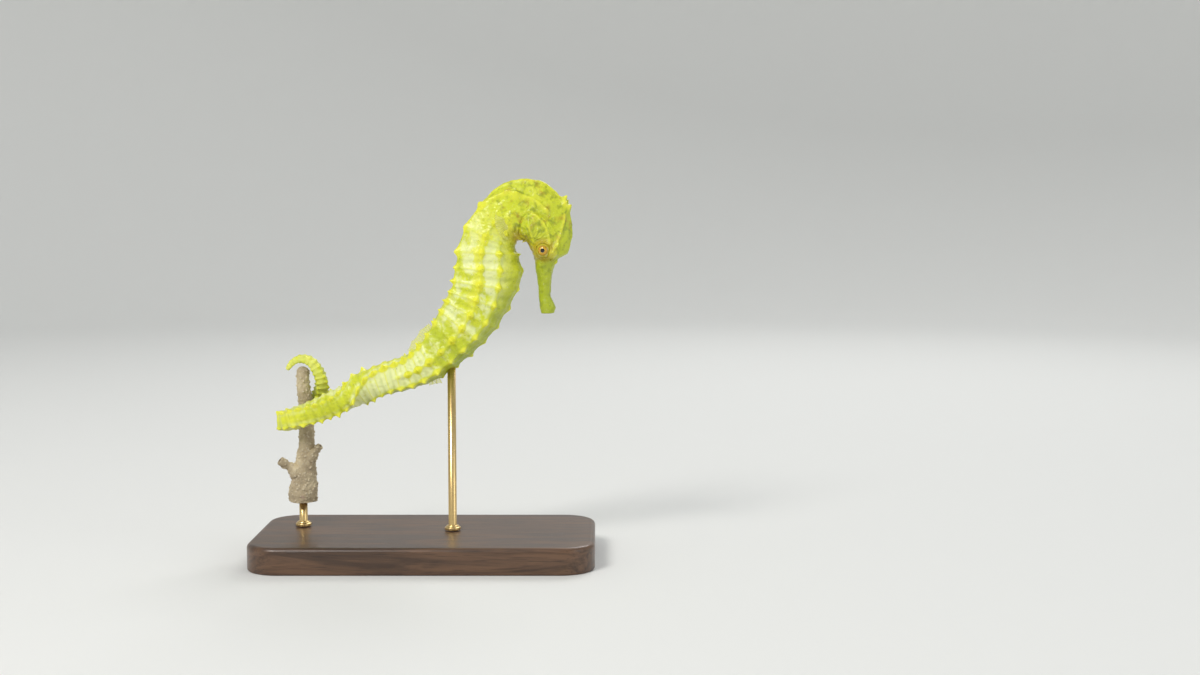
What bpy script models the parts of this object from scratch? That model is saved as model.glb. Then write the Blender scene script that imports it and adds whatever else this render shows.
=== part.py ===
"""Yellow seahorse (Hippocampus kuda type) gripping a cut gorgonian stem, on a display stand.

Life size, metres, +Z up.  The animal's belly and snout point to +X, its right side to -Y.
The whole animal is one tube swept from the tip of the snout to the tip of the tail: a curved
middle line, a dorsal and a ventral reach from it, a half width, bony rings and ridges.
Each named part is a length of that tube, with a thin gap at every cut.
"""
import bpy
import bmesh
import numpy as np
from math import cos, pi, radians, sin

MM = 0.001
GAP = 0.3                       # mm between neighbouring solids

# ---- middle line of the body, in millimetres ------------------------------------------
SNOUT_TIP = (36.5, 74.4)        # x, z of the mouth
SNOUT_HEADING = 91.5            # degrees from +X, going tailwards
STRETCHES = (                   # name, length, turn towards the belly in degrees
    ("snout", 15.0, -2.0),
    ("face", 4.5, 0.0),
    ("cheek", 9.9, 64.0),
    ("nape", 9.2, 65.0),
    ("neck", 10.9, 53.0),
    ("chest", 10.5, -11.0),
    ("belly", 12.0, -27.0),
    ("waist", 14.0, -14.0),
    ("hips", 12.0, -27.0),
    ("tail_root", 14.0, 16.0),
    ("tail_straight", 18.0, -9.0),
)
BEND_BLEND = 5.0                # length over which one turn eases into the next
STEP = 0.25                     # spacing of the middle line's points

# ---- reaches from the middle line: station, dorsal, ventral, half width ----------------
STATIONS = (
    (0.0, 2.3, 1.7, 1.7),       # lips
    (1.2, 2.9, 2.0, 2.05),
    (2.6, 2.35, 2.05, 2.05),    # flare of the mouth
    (4.6, 1.25, 2.25, 1.6),     # thinnest part of the snout
    (8.0, 1.2, 2.45, 1.65),
    (10.0, 1.5, 2.7, 1.8),
    (13.0, 1.95, 3.1, 2.4),
    (15.3, 2.8, 3.3, 3.1),      # root of the snout
    (16.4, 4.4, 3.6, 3.5),
    (17.4, 6.6, 3.9, 3.9),      # brow over the eyes
    (20.0, 7.4, 4.7, 4.4),
    (22.5, 8.8, 5.2, 4.7),      # gill covers
    (25.0, 10.2, 5.6, 4.9),
    (27.5, 10.8, 6.5, 4.9),
    (30.0, 11.6, 7.0, 4.6),     # nape
    (32.5, 11.1, 7.2, 4.5),
    (35.0, 10.0, 7.4, 4.5),
    (37.5, 8.9, 7.6, 4.7),
    (40.0, 7.9, 7.8, 5.0),      # neck
    (45.0, 7.5, 8.5, 5.5),
    (50.0, 8.5, 9.5, 5.9),
    (55.0, 9.2, 10.7, 6.2),     # deepest trunk
    (60.0, 9.3, 9.3, 6.3),
    (65.0, 9.9, 7.7, 6.1),
    (70.0, 10.0, 6.7, 5.8),
    (75.0, 9.6, 6.1, 5.4),
    (80.0, 8.2, 5.4, 4.9),
    (85.0, 6.9, 4.9, 4.5),      # hips, under the dorsal fin
    (90.0, 6.1, 4.8, 4.3),
    (95.0, 5.6, 4.5, 4.1),      # root of the tail
    (100.0, 5.3, 4.3, 4.0),
    (110.0, 4.5, 4.0, 3.8),
    (120.0, 3.8, 3.6, 3.5),
    (130.0, 3.5, 3.3, 3.2),
    (145.0, 2.6, 2.5, 2.5),
    (160.0, 1.75, 1.65, 1.65),
    (170.0, 1.2, 1.15, 1.2),
    (176.0, 0.6, 0.6, 0.6),
)
HEAD_ROLL = 14.0                # degrees the face is turned to the animal's right
HEAD_ROLL_FADE = (20.0, 42.0)   # stations over which the neck undoes it

# ---- bony rings and the ridges that join them ------------------------------------------
TRUNK_RINGS = 11
TRUNK_START, TRUNK_END = 37.0, 90.0
TAIL_RINGS = 36
TAIL_PITCH_END = 1.25           # ring spacing at the tip of the tail
RIDGES = (                      # name, angle on trunk, angle on tail, knob, where it fades
    ("superior", 23.0, 40.0, 1.0, None),
    ("lateral", 84.0, 90.0, 0.9, (90.0, 104.0)),
    ("inferior", 128.0, 137.0, 0.7, None),
    ("ventral", 180.0, 180.0, 0.5, (84.0, 92.0)),
)
RIDGE_HEIGHT = 0.45
KNOB_HEIGHT = 0.85
RING_HEIGHT = 0.28
DORSAL_GROOVE = 0.45            # hollow between the two superior ridges
TALL_RING_EVERY = 2
THROAT_CALM = 0.8               # how much the rings flatten in the tight bend of the throat
THROAT_TURNS, THROAT_END = (112.0, 150.0), (43.0, 50.0)

# ---- raised places on the head: station, angle, height, reach along, reach across --------
HEAD_BUMPS = (
    ("nose_spine", 14.9, 0.0, 0.9, 0.8, 0.8),
    ("brow", 17.6, 50.0, 0.9, 1.7, 1.5),
    ("eye_spine", 19.9, 40.0, 1.0, 0.8, 0.8),
    ("orbit", 18.6, 84.0, 0.7, 2.9, 2.7),
    ("gill_cover", 27.0, 104.0, 1.0, 4.6, 4.4),
    ("cheek_spine", 24.4, 150.0, 0.9, 0.9, 0.9),
    ("nape_knob", 33.6, 30.0, 0.6, 1.1, 1.0),
)
CREST_POWER = 1.75              # how sharply the top of the head narrows to its crest

# ---- the perch, its grip and the coil of the tail --------------------------------------
PERCH_RADIUS, PERCH_ROOT_RADIUS, PERCH_TIP_RADIUS = 2.5, 4.6, 2.1
PERCH_SWAY, PERCH_TIP_SWAY = 1.3, 0.9
PERCH_BOTTOM, PERCH_GRIP, PERCH_TOP = 16.0, 39.0, 55.7
PERCH_BRANCHES = (              # height, turn, climb, length, root radius, end radius
    (23.5, 203.0, 36.0, 9.2, 3.0, 1.5),
    (28.0, 335.0, 44.0, 7.6, 2.4, 1.2),
)
GRIP_GAP = 0.55
GRIP_REACH = (3.3, 1.75)        # ventral reach of the tail where the grip begins and ends
GRIP_TURNS = (0, 45, 90, 135, 180, 225, 250)
GRIP_HEIGHTS = (0.0, -1.5, -2.3, -1.5, 0.9, 5.0, 8.6)
HOOK_HEIGHT = 12.2              # centre of the hook above the start of the grip
HOOK_RADIUS = 4.6
HOOK_SHIFT = 1.0
HOOK_ANGLES = (16, 53, 90, 127, 160)
TWIST = (98.0, 128.0)           # stations over which the tail turns its belly to the perch

# ---- eyes, crown, fins -----------------------------------------------------------------
EYE_STATION, EYE_ANGLE, EYE_RADIUS, EYE_SINK = 18.6, 84.0, 2.25, 0.75
CROWN_STATION, CROWN_RADIUS, CROWN_LEAN = 25.8, 1.7, 8.0
DORSAL_FIN = (79.5, 91.5, 2.6)  # first station, last station, height
DORSAL_RAYS = 17
PECTORAL_STATION, PECTORAL_RAYS, PECTORAL_LENGTH = 36.8, 15, 3.9
FIN_THICKNESS = 0.6

# ---- stand -----------------------------------------------------------------------------
BASE_LENGTH, BASE_WIDTH, BASE_THICKNESS = 102.0, 52.0, 8.0
BASE_CORNER, BASE_BEVEL = 10.0, 1.4
ROD_RADIUS = 1.25
BODY_ROD_STATION = 84.5

CUTS = (                        # node, first station, last station
    ("snout", 0.0, 14.6),
    ("head", 14.6, 33.5),
    ("neck", 33.5, 47.0),
    ("trunk_upper", 47.0, 69.0),
    ("trunk_lower", 69.0, 90.0),
    ("tail_1", 90.0, 106.0),
    ("tail_2", 106.0, 122.0),
    ("tail_3", 122.0, 137.0),
    ("tail_4", 137.0, 152.0),
    ("tail_tip", 152.0, None),
)


def smoothstep(value, low, high):
    """0 below low, 1 above high, eased between."""
    t = np.clip((value - low) / (high - low), 0.0, 1.0)
    return t * t * (3.0 - 2.0 * t)


def flat_route():
    """Points and headings of the middle line from the mouth to where the tail meets the perch."""
    lengths = [row[1] for row in STRETCHES]
    count = int(round(sum(lengths) / STEP))
    ds = sum(lengths) / count
    middle = (np.arange(count) + 0.5) * ds
    ends = np.cumsum(lengths)
    which = np.searchsorted(ends, middle)
    bend = np.array([radians(row[2]) / row[1] for row in STRETCHES])[which]
    window = np.hanning(int(BEND_BLEND / STEP) + 2)
    window /= window.sum()
    reach = len(window)
    bend = np.convolve(np.pad(bend, reach, mode="edge"), window, mode="same")[reach:-reach]
    heading = radians(SNOUT_HEADING) + np.concatenate([[0.0], np.cumsum(bend) * ds])
    mid = 0.5 * (heading[1:] + heading[:-1])
    x = SNOUT_TIP[0] + np.concatenate([[0.0], np.cumsum(np.cos(mid)) * ds])
    z = SNOUT_TIP[1] + np.concatenate([[0.0], np.cumsum(np.sin(mid)) * ds])
    return np.stack([x, np.zeros_like(x), z], axis=1), heading


def grip_points(start):
    """Guide points of the tail's turn round the perch and of the hook over its top."""
    axis_y = PERCH_RADIUS + GRIP_GAP + GRIP_REACH[0]
    points = []
    for turn, rise in zip(GRIP_TURNS, GRIP_HEIGHTS):
        share = turn / 270.0
        reach = GRIP_REACH[0] + (GRIP_REACH[1] - GRIP_REACH[0]) * share
        radius = PERCH_RADIUS + GRIP_GAP + reach
        angle = radians(turn)
        points.append((start[0] - radius * sin(angle), axis_y - radius * cos(angle), start[2] + rise))
    for turn in HOOK_ANGLES:
        angle = radians(turn)
        lean = -0.6 * sin(angle)
        points.append((start[0] - HOOK_SHIFT + HOOK_RADIUS * cos(angle), axis_y + lean,
                       start[2] + HOOK_HEIGHT + HOOK_RADIUS * sin(angle)))
    return np.array(points), (start[0], axis_y)


def through(points, spacing):
    """A smooth line through guide points, as points a fixed spacing apart."""
    chord = np.concatenate([[0.0], np.cumsum(np.linalg.norm(np.diff(points, axis=0), axis=1))])
    slope = np.gradient(points, chord, axis=0)
    dense = []
    for i in range(len(points) - 1):
        h = chord[i + 1] - chord[i]
        u = np.linspace(0.0, 1.0, 40, endpoint=False)[:, None]
        dense.append((2 * u**3 - 3 * u**2 + 1) * points[i] + (u**3 - 2 * u**2 + u) * h * slope[i]
                     + (3 * u**2 - 2 * u**3) * points[i + 1] + (u**3 - u**2) * h * slope[i + 1])
    dense = np.concatenate(dense + [points[-1:]])
    along = np.concatenate([[0.0], np.cumsum(np.linalg.norm(np.diff(dense, axis=0), axis=1))])
    count = int(along[-1] / spacing)
    where = np.linspace(0.0, along[-1], count + 1)
    return np.stack([np.interp(where, along, dense[:, k]) for k in range(3)], axis=1)


def soften(points, first, width, passes):
    """Average the points after the first few with their neighbours, keeping both ends."""
    result = points.copy()
    for _ in range(passes):
        padded = np.pad(result, ((width, width), (0, 0)), mode="reflect", reflect_type="odd")
        mean = np.mean([padded[k:k + len(result)] for k in range(2 * width + 1)], axis=0)
        blend = smoothstep(np.arange(len(result)), first, first + 4 * width)[:, None]
        result = result + (mean - result) * blend
    return result


class Body:
    """Middle line with a frame at each point: tailward, dorsal and left."""

    def __init__(self):
        flat, heading = flat_route()
        start = flat[-1]
        grip, self.axis = grip_points(start)
        lead = flat[-1 - int(6.0 / STEP)::int(3.0 / STEP)][:-1]
        tail = through(np.concatenate([lead, grip]), STEP)
        keep = len(flat) - 1 - int(6.0 / STEP)
        points = np.concatenate([flat[:keep], tail])
        points = soften(points, keep + int(4.0 / STEP), 4, 3)
        step = np.linalg.norm(np.diff(points, axis=0), axis=1)
        self.s = np.concatenate([[0.0], np.cumsum(step)])
        self.points = points
        self.tangent = np.gradient(points, self.s, axis=0)
        self.tangent /= np.linalg.norm(self.tangent, axis=1)[:, None]
        self.length = self.s[-1]
        self.start = start
        self.dorsal = self.dorsal_directions()
        self.left = np.cross(self.tangent, self.dorsal)

    def dorsal_directions(self):
        """Dorsal side: away from the belly on the body, away from the perch on the coil."""
        t = self.tangent
        flat = np.stack([t[:, 2], np.zeros(len(t)), -t[:, 0]], axis=1)
        flat[self.s > TWIST[1]] = (0.0, 0.0, 1.0)
        centre = np.tile((self.axis[0], self.axis[1], 0.0), (len(t), 1))
        centre[:, 2] = np.minimum(self.points[:, 2], self.start[2] + HOOK_HEIGHT)
        away = self.points - centre
        away -= t * np.sum(away * t, axis=1)[:, None]
        away /= np.linalg.norm(away, axis=1)[:, None]
        blend = smoothstep(self.s, *TWIST)[:, None]
        dorsal = flat * np.cos(blend * pi / 2) + away * np.sin(blend * pi / 2)
        dorsal -= t * np.sum(dorsal * t, axis=1)[:, None]
        dorsal /= np.linalg.norm(dorsal, axis=1)[:, None]
        roll = radians(HEAD_ROLL) * (1.0 - smoothstep(self.s, *HEAD_ROLL_FADE))[:, None]
        return dorsal * np.cos(roll) - np.cross(t, dorsal) * np.sin(roll)

    def frame(self, station):
        """Point, tailward, dorsal and left directions at a station."""
        rows = (self.points, self.tangent, self.dorsal, self.left)
        values = [np.array([np.interp(station, self.s, row[:, k]) for k in range(3)]) for row in rows]
        for vector in values[1:]:
            vector /= np.linalg.norm(vector)
        return values


def ring_count(station):
    """Ring number at a station: whole numbers are the raised middles of the rings."""
    pitch = (TRUNK_END - TRUNK_START) / TRUNK_RINGS
    if station <= TRUNK_END:
        return (station - TRUNK_START) / pitch - 0.5
    first = 2.0 * (BODY.length - TRUNK_END) / TAIL_RINGS - TAIL_PITCH_END
    slope = (TAIL_PITCH_END - first) / (BODY.length - TRUNK_END)
    return TRUNK_RINGS - 0.5 + np.log1p(slope * (station - TRUNK_END) / first) / slope


def ring_station(number):
    """Station of a ring number, the inverse of ring_count."""
    pitch = (TRUNK_END - TRUNK_START) / TRUNK_RINGS
    if number <= TRUNK_RINGS - 0.5:
        return TRUNK_START + (number + 0.5) * pitch
    first = 2.0 * (BODY.length - TRUNK_END) / TAIL_RINGS - TAIL_PITCH_END
    slope = (TAIL_PITCH_END - first) / (BODY.length - TRUNK_END)
    return TRUNK_END + np.expm1(slope * (number - TRUNK_RINGS + 0.5)) * first / slope


def tail_scale(station):
    """Size of rings, ridges and knobs: full on the trunk, small at the tip of the tail."""
    stations = (30.0, 38.0, 90.0, 130.0, 160.0, BODY.length)
    return np.interp(station, stations, (0.0, 0.8, 1.0, 0.66, 0.4, 0.12))


def reaches(station):
    """Dorsal reach, ventral reach and half width at a station."""
    table = np.array(STATIONS)
    return [np.interp(station, table[:, 0], table[:, k]) for k in (1, 2, 3)]


def ridge_angle(row, station):
    """Angle of a ridge from the dorsal line at a station."""
    blend = smoothstep(station, 84.0, 100.0)
    return row[1] + (row[2] - row[1]) * blend


def relief(station, angle):
    """Height of rings, ridges and knobs over the plain tube, for an angle in degrees."""
    size = tail_scale(station)
    if size <= 0.0:
        return 0.0
    number = ring_count(station)
    phase = number - round(number)
    on_ring = cos(pi * phase) ** 2
    height = RING_HEIGHT * on_ring
    tall = 1.4 if round(number) % TALL_RING_EVERY == 0 else 1.0
    folded = abs((angle + 180.0) % 360.0 - 180.0)
    size *= 1.0 - THROAT_CALM * smoothstep(folded, *THROAT_TURNS) * (1.0 - smoothstep(station, *THROAT_END))
    for row in RIDGES:
        fade = 1.0 if row[4] is None else 1.0 - smoothstep(station, *row[4])
        near = max(0.0, 1.0 - abs(folded - ridge_angle(row, station)) / 14.0)
        height += fade * near * (RIDGE_HEIGHT + KNOB_HEIGHT * row[3] * tall * on_ring ** 2)
    top = ridge_angle(RIDGES[0], station)
    if folded < top:
        groove = DORSAL_GROOVE * (1.0 - 0.8 * smoothstep(station, 84.0, 100.0))
        height -= groove * cos(pi / 2 * folded / top) ** 2
    return height * size


def head_relief(station, angle, radius):
    """Height of the brows, spines and gill covers over the plain head."""
    if not 11.0 < station < 38.0:
        return 0.0
    folded = abs((angle + 180.0) % 360.0 - 180.0)
    height = 0.0
    for _, where, turn, rise, along, across in HEAD_BUMPS:
        far = ((station - where) / along) ** 2 + (radians(folded - turn) * radius / across) ** 2
        height += rise * max(0.0, 1.0 - far / 2.0) ** 2
    return height


def squareness(station):
    """Exponent of the cross-section: round on the snout, boxy on the tail."""
    return np.interp(station, (0.0, 15.0, 22.0, 45.0, 90.0, 105.0), (2.0, 2.1, 2.4, 2.3, 2.25, 2.12))


def skin_point(station, angle, offset=0.0):
    """Surface point at a station and an angle from the dorsal line towards the left side."""
    point, _, dorsal, left = BODY.frame(station)
    up, down, half = reaches(station)
    a = radians(angle)
    power = squareness(station)
    depth = up if cos(a) >= 0.0 else down
    if cos(a) > 0.0:
        crest = smoothstep(station, 15.0, 20.0) * (1.0 - smoothstep(station, 32.0, 44.0))
        power += (CREST_POWER - power) * crest
    radius = (abs(sin(a) / half) ** power + abs(cos(a) / depth) ** power) ** (-1.0 / power)
    radius += relief(station, angle) + head_relief(station, angle, radius) + offset
    return point + radius * (sin(a) * left + cos(a) * dorsal)


def section_angles(station):
    """Angles of the corners of a section: the ridges and the flats between them."""
    sides = [ridge_angle(row, station) for row in RIDGES[:3]]
    half = [0.0, sides[0] * 0.5, sides[0], (sides[0] + sides[1]) / 2, sides[1]]
    half += [(sides[1] + sides[2]) / 2, sides[2], (sides[2] + 180.0) / 2]
    return half + [180.0] + [360.0 - a for a in reversed(half[1:])]


def section_stations(first, last):
    """Stations between two cuts: close on the head, two to three for each ring behind it."""
    plain = [0.0, 0.9, 2.2, 3.4, 4.8, 7.4, 10.0, 12.4, 14.0, 15.3, 16.3, 17.3, 18.6, 20.0, 21.4,
             23.0, 24.6, 26.2, 27.8, 29.4, 31.0, 32.6, 34.2, 35.6]
    steps = (0.0, 0.32, 0.68)
    for ring in range(TRUNK_RINGS + TAIL_RINGS):
        used = steps if ring < TRUNK_RINGS + 8 else steps[:1] + (0.5,)
        plain += [float(ring_station(ring + part)) for part in used]
    inner = [s for s in plain if first + 0.35 < s < last - 0.35]
    return [first] + inner + [last]


def mesh_object(name, points, faces):
    """A mesh object from points in millimetres, faces turned outwards."""
    mesh = bpy.data.meshes.new(name)
    mesh.from_pydata([tuple(float(c) * MM for c in p) for p in points], [], faces)
    shell = bmesh.new()
    shell.from_mesh(mesh)
    bmesh.ops.recalc_face_normals(shell, faces=shell.faces)
    shell.to_mesh(mesh)
    shell.free()
    mesh.validate()
    made = bpy.data.objects.new(name, mesh)
    bpy.context.scene.collection.objects.link(made)
    return made


def skinned(name, sections):
    """A closed body through rings of points, with flat ends."""
    count = len(sections[0])
    points = [p for ring in sections for p in ring]
    faces = []
    for i in range(len(sections) - 1):
        for j in range(count):
            k = (j + 1) % count
            a, b = i * count, (i + 1) * count
            faces.append((a + j, a + k, b + k, b + j))
    faces.append(tuple(range(count)))
    last = (len(sections) - 1) * count
    faces.append(tuple(last + j for j in range(count)))
    return mesh_object(name, points, faces)


def body_length(name, first, last, offset=0.0):
    """One length of the animal's tube between two stations."""
    sections = [[skin_point(s, a, offset) for a in section_angles(s)] for s in section_stations(first, last)]
    return skinned(name, sections)


def rounded(name_object, angle=40.0):
    """Smooth shading with crisp edges where faces meet sharply."""
    bpy.context.view_layer.objects.active = name_object
    name_object.select_set(True)
    bpy.ops.object.shade_smooth_by_angle(angle=radians(angle))
    name_object.select_set(False)


def combine(target, tool, operation):
    """Work the tool's space into the target for good."""
    step = target.modifiers.new("combine", "BOOLEAN")
    step.operation = operation
    step.solver = "EXACT"
    step.object = tool
    bpy.context.view_layer.update()
    bpy.context.view_layer.objects.active = target
    bpy.ops.object.modifier_apply(modifier=step.name)


def cut(target, cutter):
    """Take the cutter's space out of the target."""
    combine(target, cutter, "DIFFERENCE")


def discard(tool):
    """Remove a tool once it has done its work."""
    bpy.data.objects.remove(tool, do_unlink=True)


def ball(name, centre, radius, segments=20, rings=12):
    """A sphere with its poles up and down."""
    points = [centre + np.array((0.0, 0.0, radius))]
    for i in range(1, rings):
        lat = pi * i / rings
        for j in range(segments):
            lon = 2 * pi * j / segments
            points.append(centre + radius * np.array((sin(lat) * cos(lon), sin(lat) * sin(lon), cos(lat))))
    points.append(centre - np.array((0.0, 0.0, radius)))
    faces = [(0, 1 + j, 1 + (j + 1) % segments) for j in range(segments)]
    for i in range(rings - 2):
        a, b = 1 + i * segments, 1 + (i + 1) * segments
        faces += [(a + j, b + j, b + (j + 1) % segments, a + (j + 1) % segments) for j in range(segments)]
    last = 1 + (rings - 2) * segments
    faces += [(last + j, len(points) - 1, last + (j + 1) % segments) for j in range(segments)]
    return mesh_object(name, points, faces)


def material(name, colour, roughness, metallic=0.0):
    """A plain Principled material."""
    made = bpy.data.materials.new(name)
    made.use_nodes = True
    shader = made.node_tree.nodes["Principled BSDF"]
    shader.inputs["Base Color"].default_value = (*colour, 1.0)
    shader.inputs["Roughness"].default_value = roughness
    shader.inputs["Metallic"].default_value = metallic
    return made


def dress(thing, colour, roughness, metallic=0.0, angle=40.0):
    """Give a node its own material and shading."""
    thing.data.materials.clear()
    thing.data.materials.append(material(thing.name + "_finish", colour, roughness, metallic))
    rounded(thing, angle)


def eye_centre(side):
    """Centre of an eyeball, sunk a little under the skin; side is +1 left, -1 right."""
    surface = skin_point(EYE_STATION, side * EYE_ANGLE)
    middle = BODY.frame(EYE_STATION)[0]
    inward = middle - surface
    return surface + inward / np.linalg.norm(inward) * EYE_SINK


def crown():
    """The coronet: a low cup with five blunt points, leaning back from the nape."""
    point, tail, dorsal, left = BODY.frame(CROWN_STATION)
    lean = radians(CROWN_LEAN)
    up = dorsal * cos(lean) + tail * sin(lean)
    ahead = tail * cos(lean) - dorsal * sin(lean)
    foot = skin_point(CROWN_STATION, 0.0) - 1.6 * up
    levels = ((0.0, 1.7), (1.5, 1.4), (2.0, 1.05), (2.4, 1.0), (2.8, 1.15))
    sides = 20
    sections = []
    for rise, wide in levels:
        ring = []
        for j in range(sides):
            a = 2 * pi * j / sides
            point_here = max(0.0, cos(5 * a)) * smoothstep(rise, 1.8, 2.8)
            out = CROWN_RADIUS * wide * (1.0 + 0.35 * point_here)
            high = rise + 0.5 * point_here
            ring.append(foot + high * up + out * (cos(a) * ahead + 0.85 * sin(a) * left))
        sections.append(ring)
    return skinned("coronet", sections)


def blade(name, bases, tips, across, thickness):
    """A thin fin between a row of base points and a row of tip points."""
    half = [thickness / 2 * v for v in across]
    rows = [[b + h for b, h in zip(bases, half)], [t + h * 0.85 for t, h in zip(tips, half)],
            [t - h * 0.85 for t, h in zip(tips, half)], [b - h for b, h in zip(bases, half)]]
    sections = [[row[i] for row in rows] for i in range(len(bases))]
    return skinned(name, sections)


def dorsal_fin():
    """The low fan of the dorsal fin over the hips, one notch between rays."""
    first, last, height = DORSAL_FIN
    bases, tips, across = [], [], []
    for i in range(2 * DORSAL_RAYS - 1):
        share = i / (2 * DORSAL_RAYS - 2)
        station = first + (last - first) * share
        _, tail, dorsal, left = BODY.frame(station)
        root = skin_point(station, 0.0) - 1.2 * dorsal
        rise = 1.2 + height * sin(pi * min(1.0, 0.12 + 0.8 * share)) ** 0.6
        rise -= 0.3 * (i % 2)
        bases.append(root)
        tips.append(root + rise * (dorsal * 0.93 + tail * 0.36 * (0.4 + share)))
        across.append(left)
    return blade("fin_dorsal", bases, tips, across, FIN_THICKNESS)


def anal_fin():
    """The tiny fin under the root of the tail."""
    bases, tips, across = [], [], []
    for i in range(7):
        share = i / 6
        station = 88.2 + 2.6 * share
        _, tail, dorsal, left = BODY.frame(station)
        root = skin_point(station, 180.0) + 0.8 * dorsal
        rise = 0.8 + 1.7 - 0.25 * (i % 2) - 0.5 * share
        bases.append(root)
        tips.append(root + rise * (-dorsal * 0.9 + tail * (0.2 + 0.5 * share)))
        across.append(left)
    return blade("fin_anal", bases, tips, across, 0.55)


def pectoral_fin(name, side):
    """A rounded fan behind the gill cover, lying back along the neck."""
    bases, tips, across = [], [], []
    for i in range(2 * PECTORAL_RAYS - 1):
        share = i / (2 * PECTORAL_RAYS - 2)
        angle = side * (88.0 + 34.0 * share)
        station = PECTORAL_STATION
        middle, tail, dorsal, left = BODY.frame(station)
        surface = skin_point(station, angle)
        out = surface - middle
        out /= np.linalg.norm(out)
        up = np.cross(tail, out) * side
        spread = radians(-46.0 + 92.0 * share)
        reach = PECTORAL_LENGTH * (0.8 + 0.2 * sin(pi * share)) - 0.22 * (i % 2)
        ray = cos(spread) * (0.80 * tail + 0.62 * out) + sin(spread) * up
        bases.append(surface - 0.9 * out)
        tips.append(surface + 0.55 * out + reach * ray)
        across.append(np.cross(ray, up) / np.linalg.norm(np.cross(ray, up)))
    return blade(name, bases, tips, across, FIN_THICKNESS)


def perch_section(z):
    """Sideways shift and radius of the perch at a height: stout below, slimmer at its leaning tip."""
    below = 1.0 - smoothstep(z, PERCH_BOTTOM, PERCH_GRIP - 3.0)
    above = smoothstep(z, 45.0, 53.0)
    radius = PERCH_RADIUS + (PERCH_ROOT_RADIUS - PERCH_RADIUS) * below
    radius -= (PERCH_RADIUS - PERCH_TIP_RADIUS) * above
    return -PERCH_SWAY * below - PERCH_TIP_SWAY * above, radius, below


def perch_branch(height, turn, climb, length, root, end):
    """A side branch of the perch cut off short, flared where it leaves the stem."""
    turn, climb = radians(turn), radians(climb)
    way = np.array((cos(climb) * cos(turn), cos(climb) * sin(turn), sin(climb)))
    level = np.array((-sin(turn), cos(turn), 0.0))
    upward = np.cross(way, level)
    x, y = BODY.axis
    foot = np.array((x + perch_section(height)[0], y, height))
    sections = []
    for reach in (0.0, 2.5, 3.7, 4.8, 6.0, length - 0.4, length):
        r = end + (root - end) * (1.0 - smoothstep(reach, 2.5, 6.0))
        if reach == length:
            r = 0.75 * end
        spin = [2 * pi * j / 12 for j in range(12)]
        sections.append([foot + way * reach + r * (level * cos(a) + upward * sin(a)) for a in spin])
    return skinned("perch_branch", sections)


def perch():
    """A short cut length of gorgonian stem, round-ended above, with two branches cut short."""
    x, y = BODY.axis
    lower = np.linspace(PERCH_BOTTOM, PERCH_GRIP, 10)
    upper = np.linspace(PERCH_GRIP, PERCH_TOP, 10)[1:]
    heights = np.concatenate([lower, upper])
    sections = []
    for n, z in enumerate(heights):
        sway, radius, below = perch_section(z)
        ring = []
        for j in range(18):
            a = 2 * pi * j / 18
            knob = 0.22 * below * sin(3 * a + 1.3 * n) + 0.14 * below * sin(5 * a - 2.1 * n)
            r = radius + knob
            ring.append(np.array((x + sway + r * cos(a), y + r * sin(a), z)))
        sections.append(ring)
    for share in (0.45, 0.8, 0.97):
        r = PERCH_TIP_RADIUS * cos(share * pi / 2)
        z = PERCH_TOP + 0.8 * PERCH_TIP_RADIUS * sin(share * pi / 2)
        spin = [2 * pi * j / 18 for j in range(18)]
        sections.append([np.array((x - PERCH_TIP_SWAY + r * cos(a), y + r * sin(a), z)) for a in spin])
    stem = skinned("perch", sections)
    for row in PERCH_BRANCHES:
        branch = perch_branch(*row)
        combine(stem, branch, "UNION")
        discard(branch)
    return stem


def base():
    """The flat base: a slab with rounded corners and a bevelled upper edge."""
    outline = []
    x0, y0 = BASE_LENGTH / 2 - BASE_CORNER, BASE_WIDTH / 2 - BASE_CORNER
    for quarter, (sx, sy) in enumerate(((1, 1), (-1, 1), (-1, -1), (1, -1))):
        for k in range(9):
            a = pi / 2 * (quarter + k / 8)
            outline.append((sx * x0, sy * y0, cos(a), sin(a)))
    sections = []
    for z, inset in ((0.0, 0.6), (0.6, 0.0), (BASE_THICKNESS - BASE_BEVEL, 0.0),
                     (BASE_THICKNESS - 0.4 * BASE_BEVEL, 0.3 * BASE_BEVEL), (BASE_THICKNESS, BASE_BEVEL)):
        r = BASE_CORNER - inset
        ring = [(px + r * cx, py + r * cy, z) for px, py, cx, cy in outline]
        sections.append([np.array(p) for p in ring])
    return skinned("stand_base", sections)


def rod(name, x, y, low, high, foot=True):
    """An upright rod with a small collar at its foot."""
    profile = [(low, ROD_RADIUS), (high, ROD_RADIUS)]
    if foot:
        collar = [(low, 2.4), (low + 0.9, 2.4), (low + 1.4, 1.9)]
        profile = collar + [(low + 1.41, ROD_RADIUS), (high, ROD_RADIUS)]
    sections = []
    for z, r in profile:
        spin = [2 * pi * j / 24 for j in range(24)]
        sections.append([np.array((x + r * cos(a), y + r * sin(a), z)) for a in spin])
    return skinned(name, sections)


def clear_scene():
    """Start from an empty scene."""
    for thing in list(bpy.data.objects):
        bpy.data.objects.remove(thing, do_unlink=True)


def build_body():
    """All lengths of the animal's tube."""
    made = {}
    for name, first, last in CUTS:
        end = BODY.length if last is None else last - GAP / 2
        begin = first if first == 0.0 else first + GAP / 2
        made[name] = body_length(name, begin, end)
    return made


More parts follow.
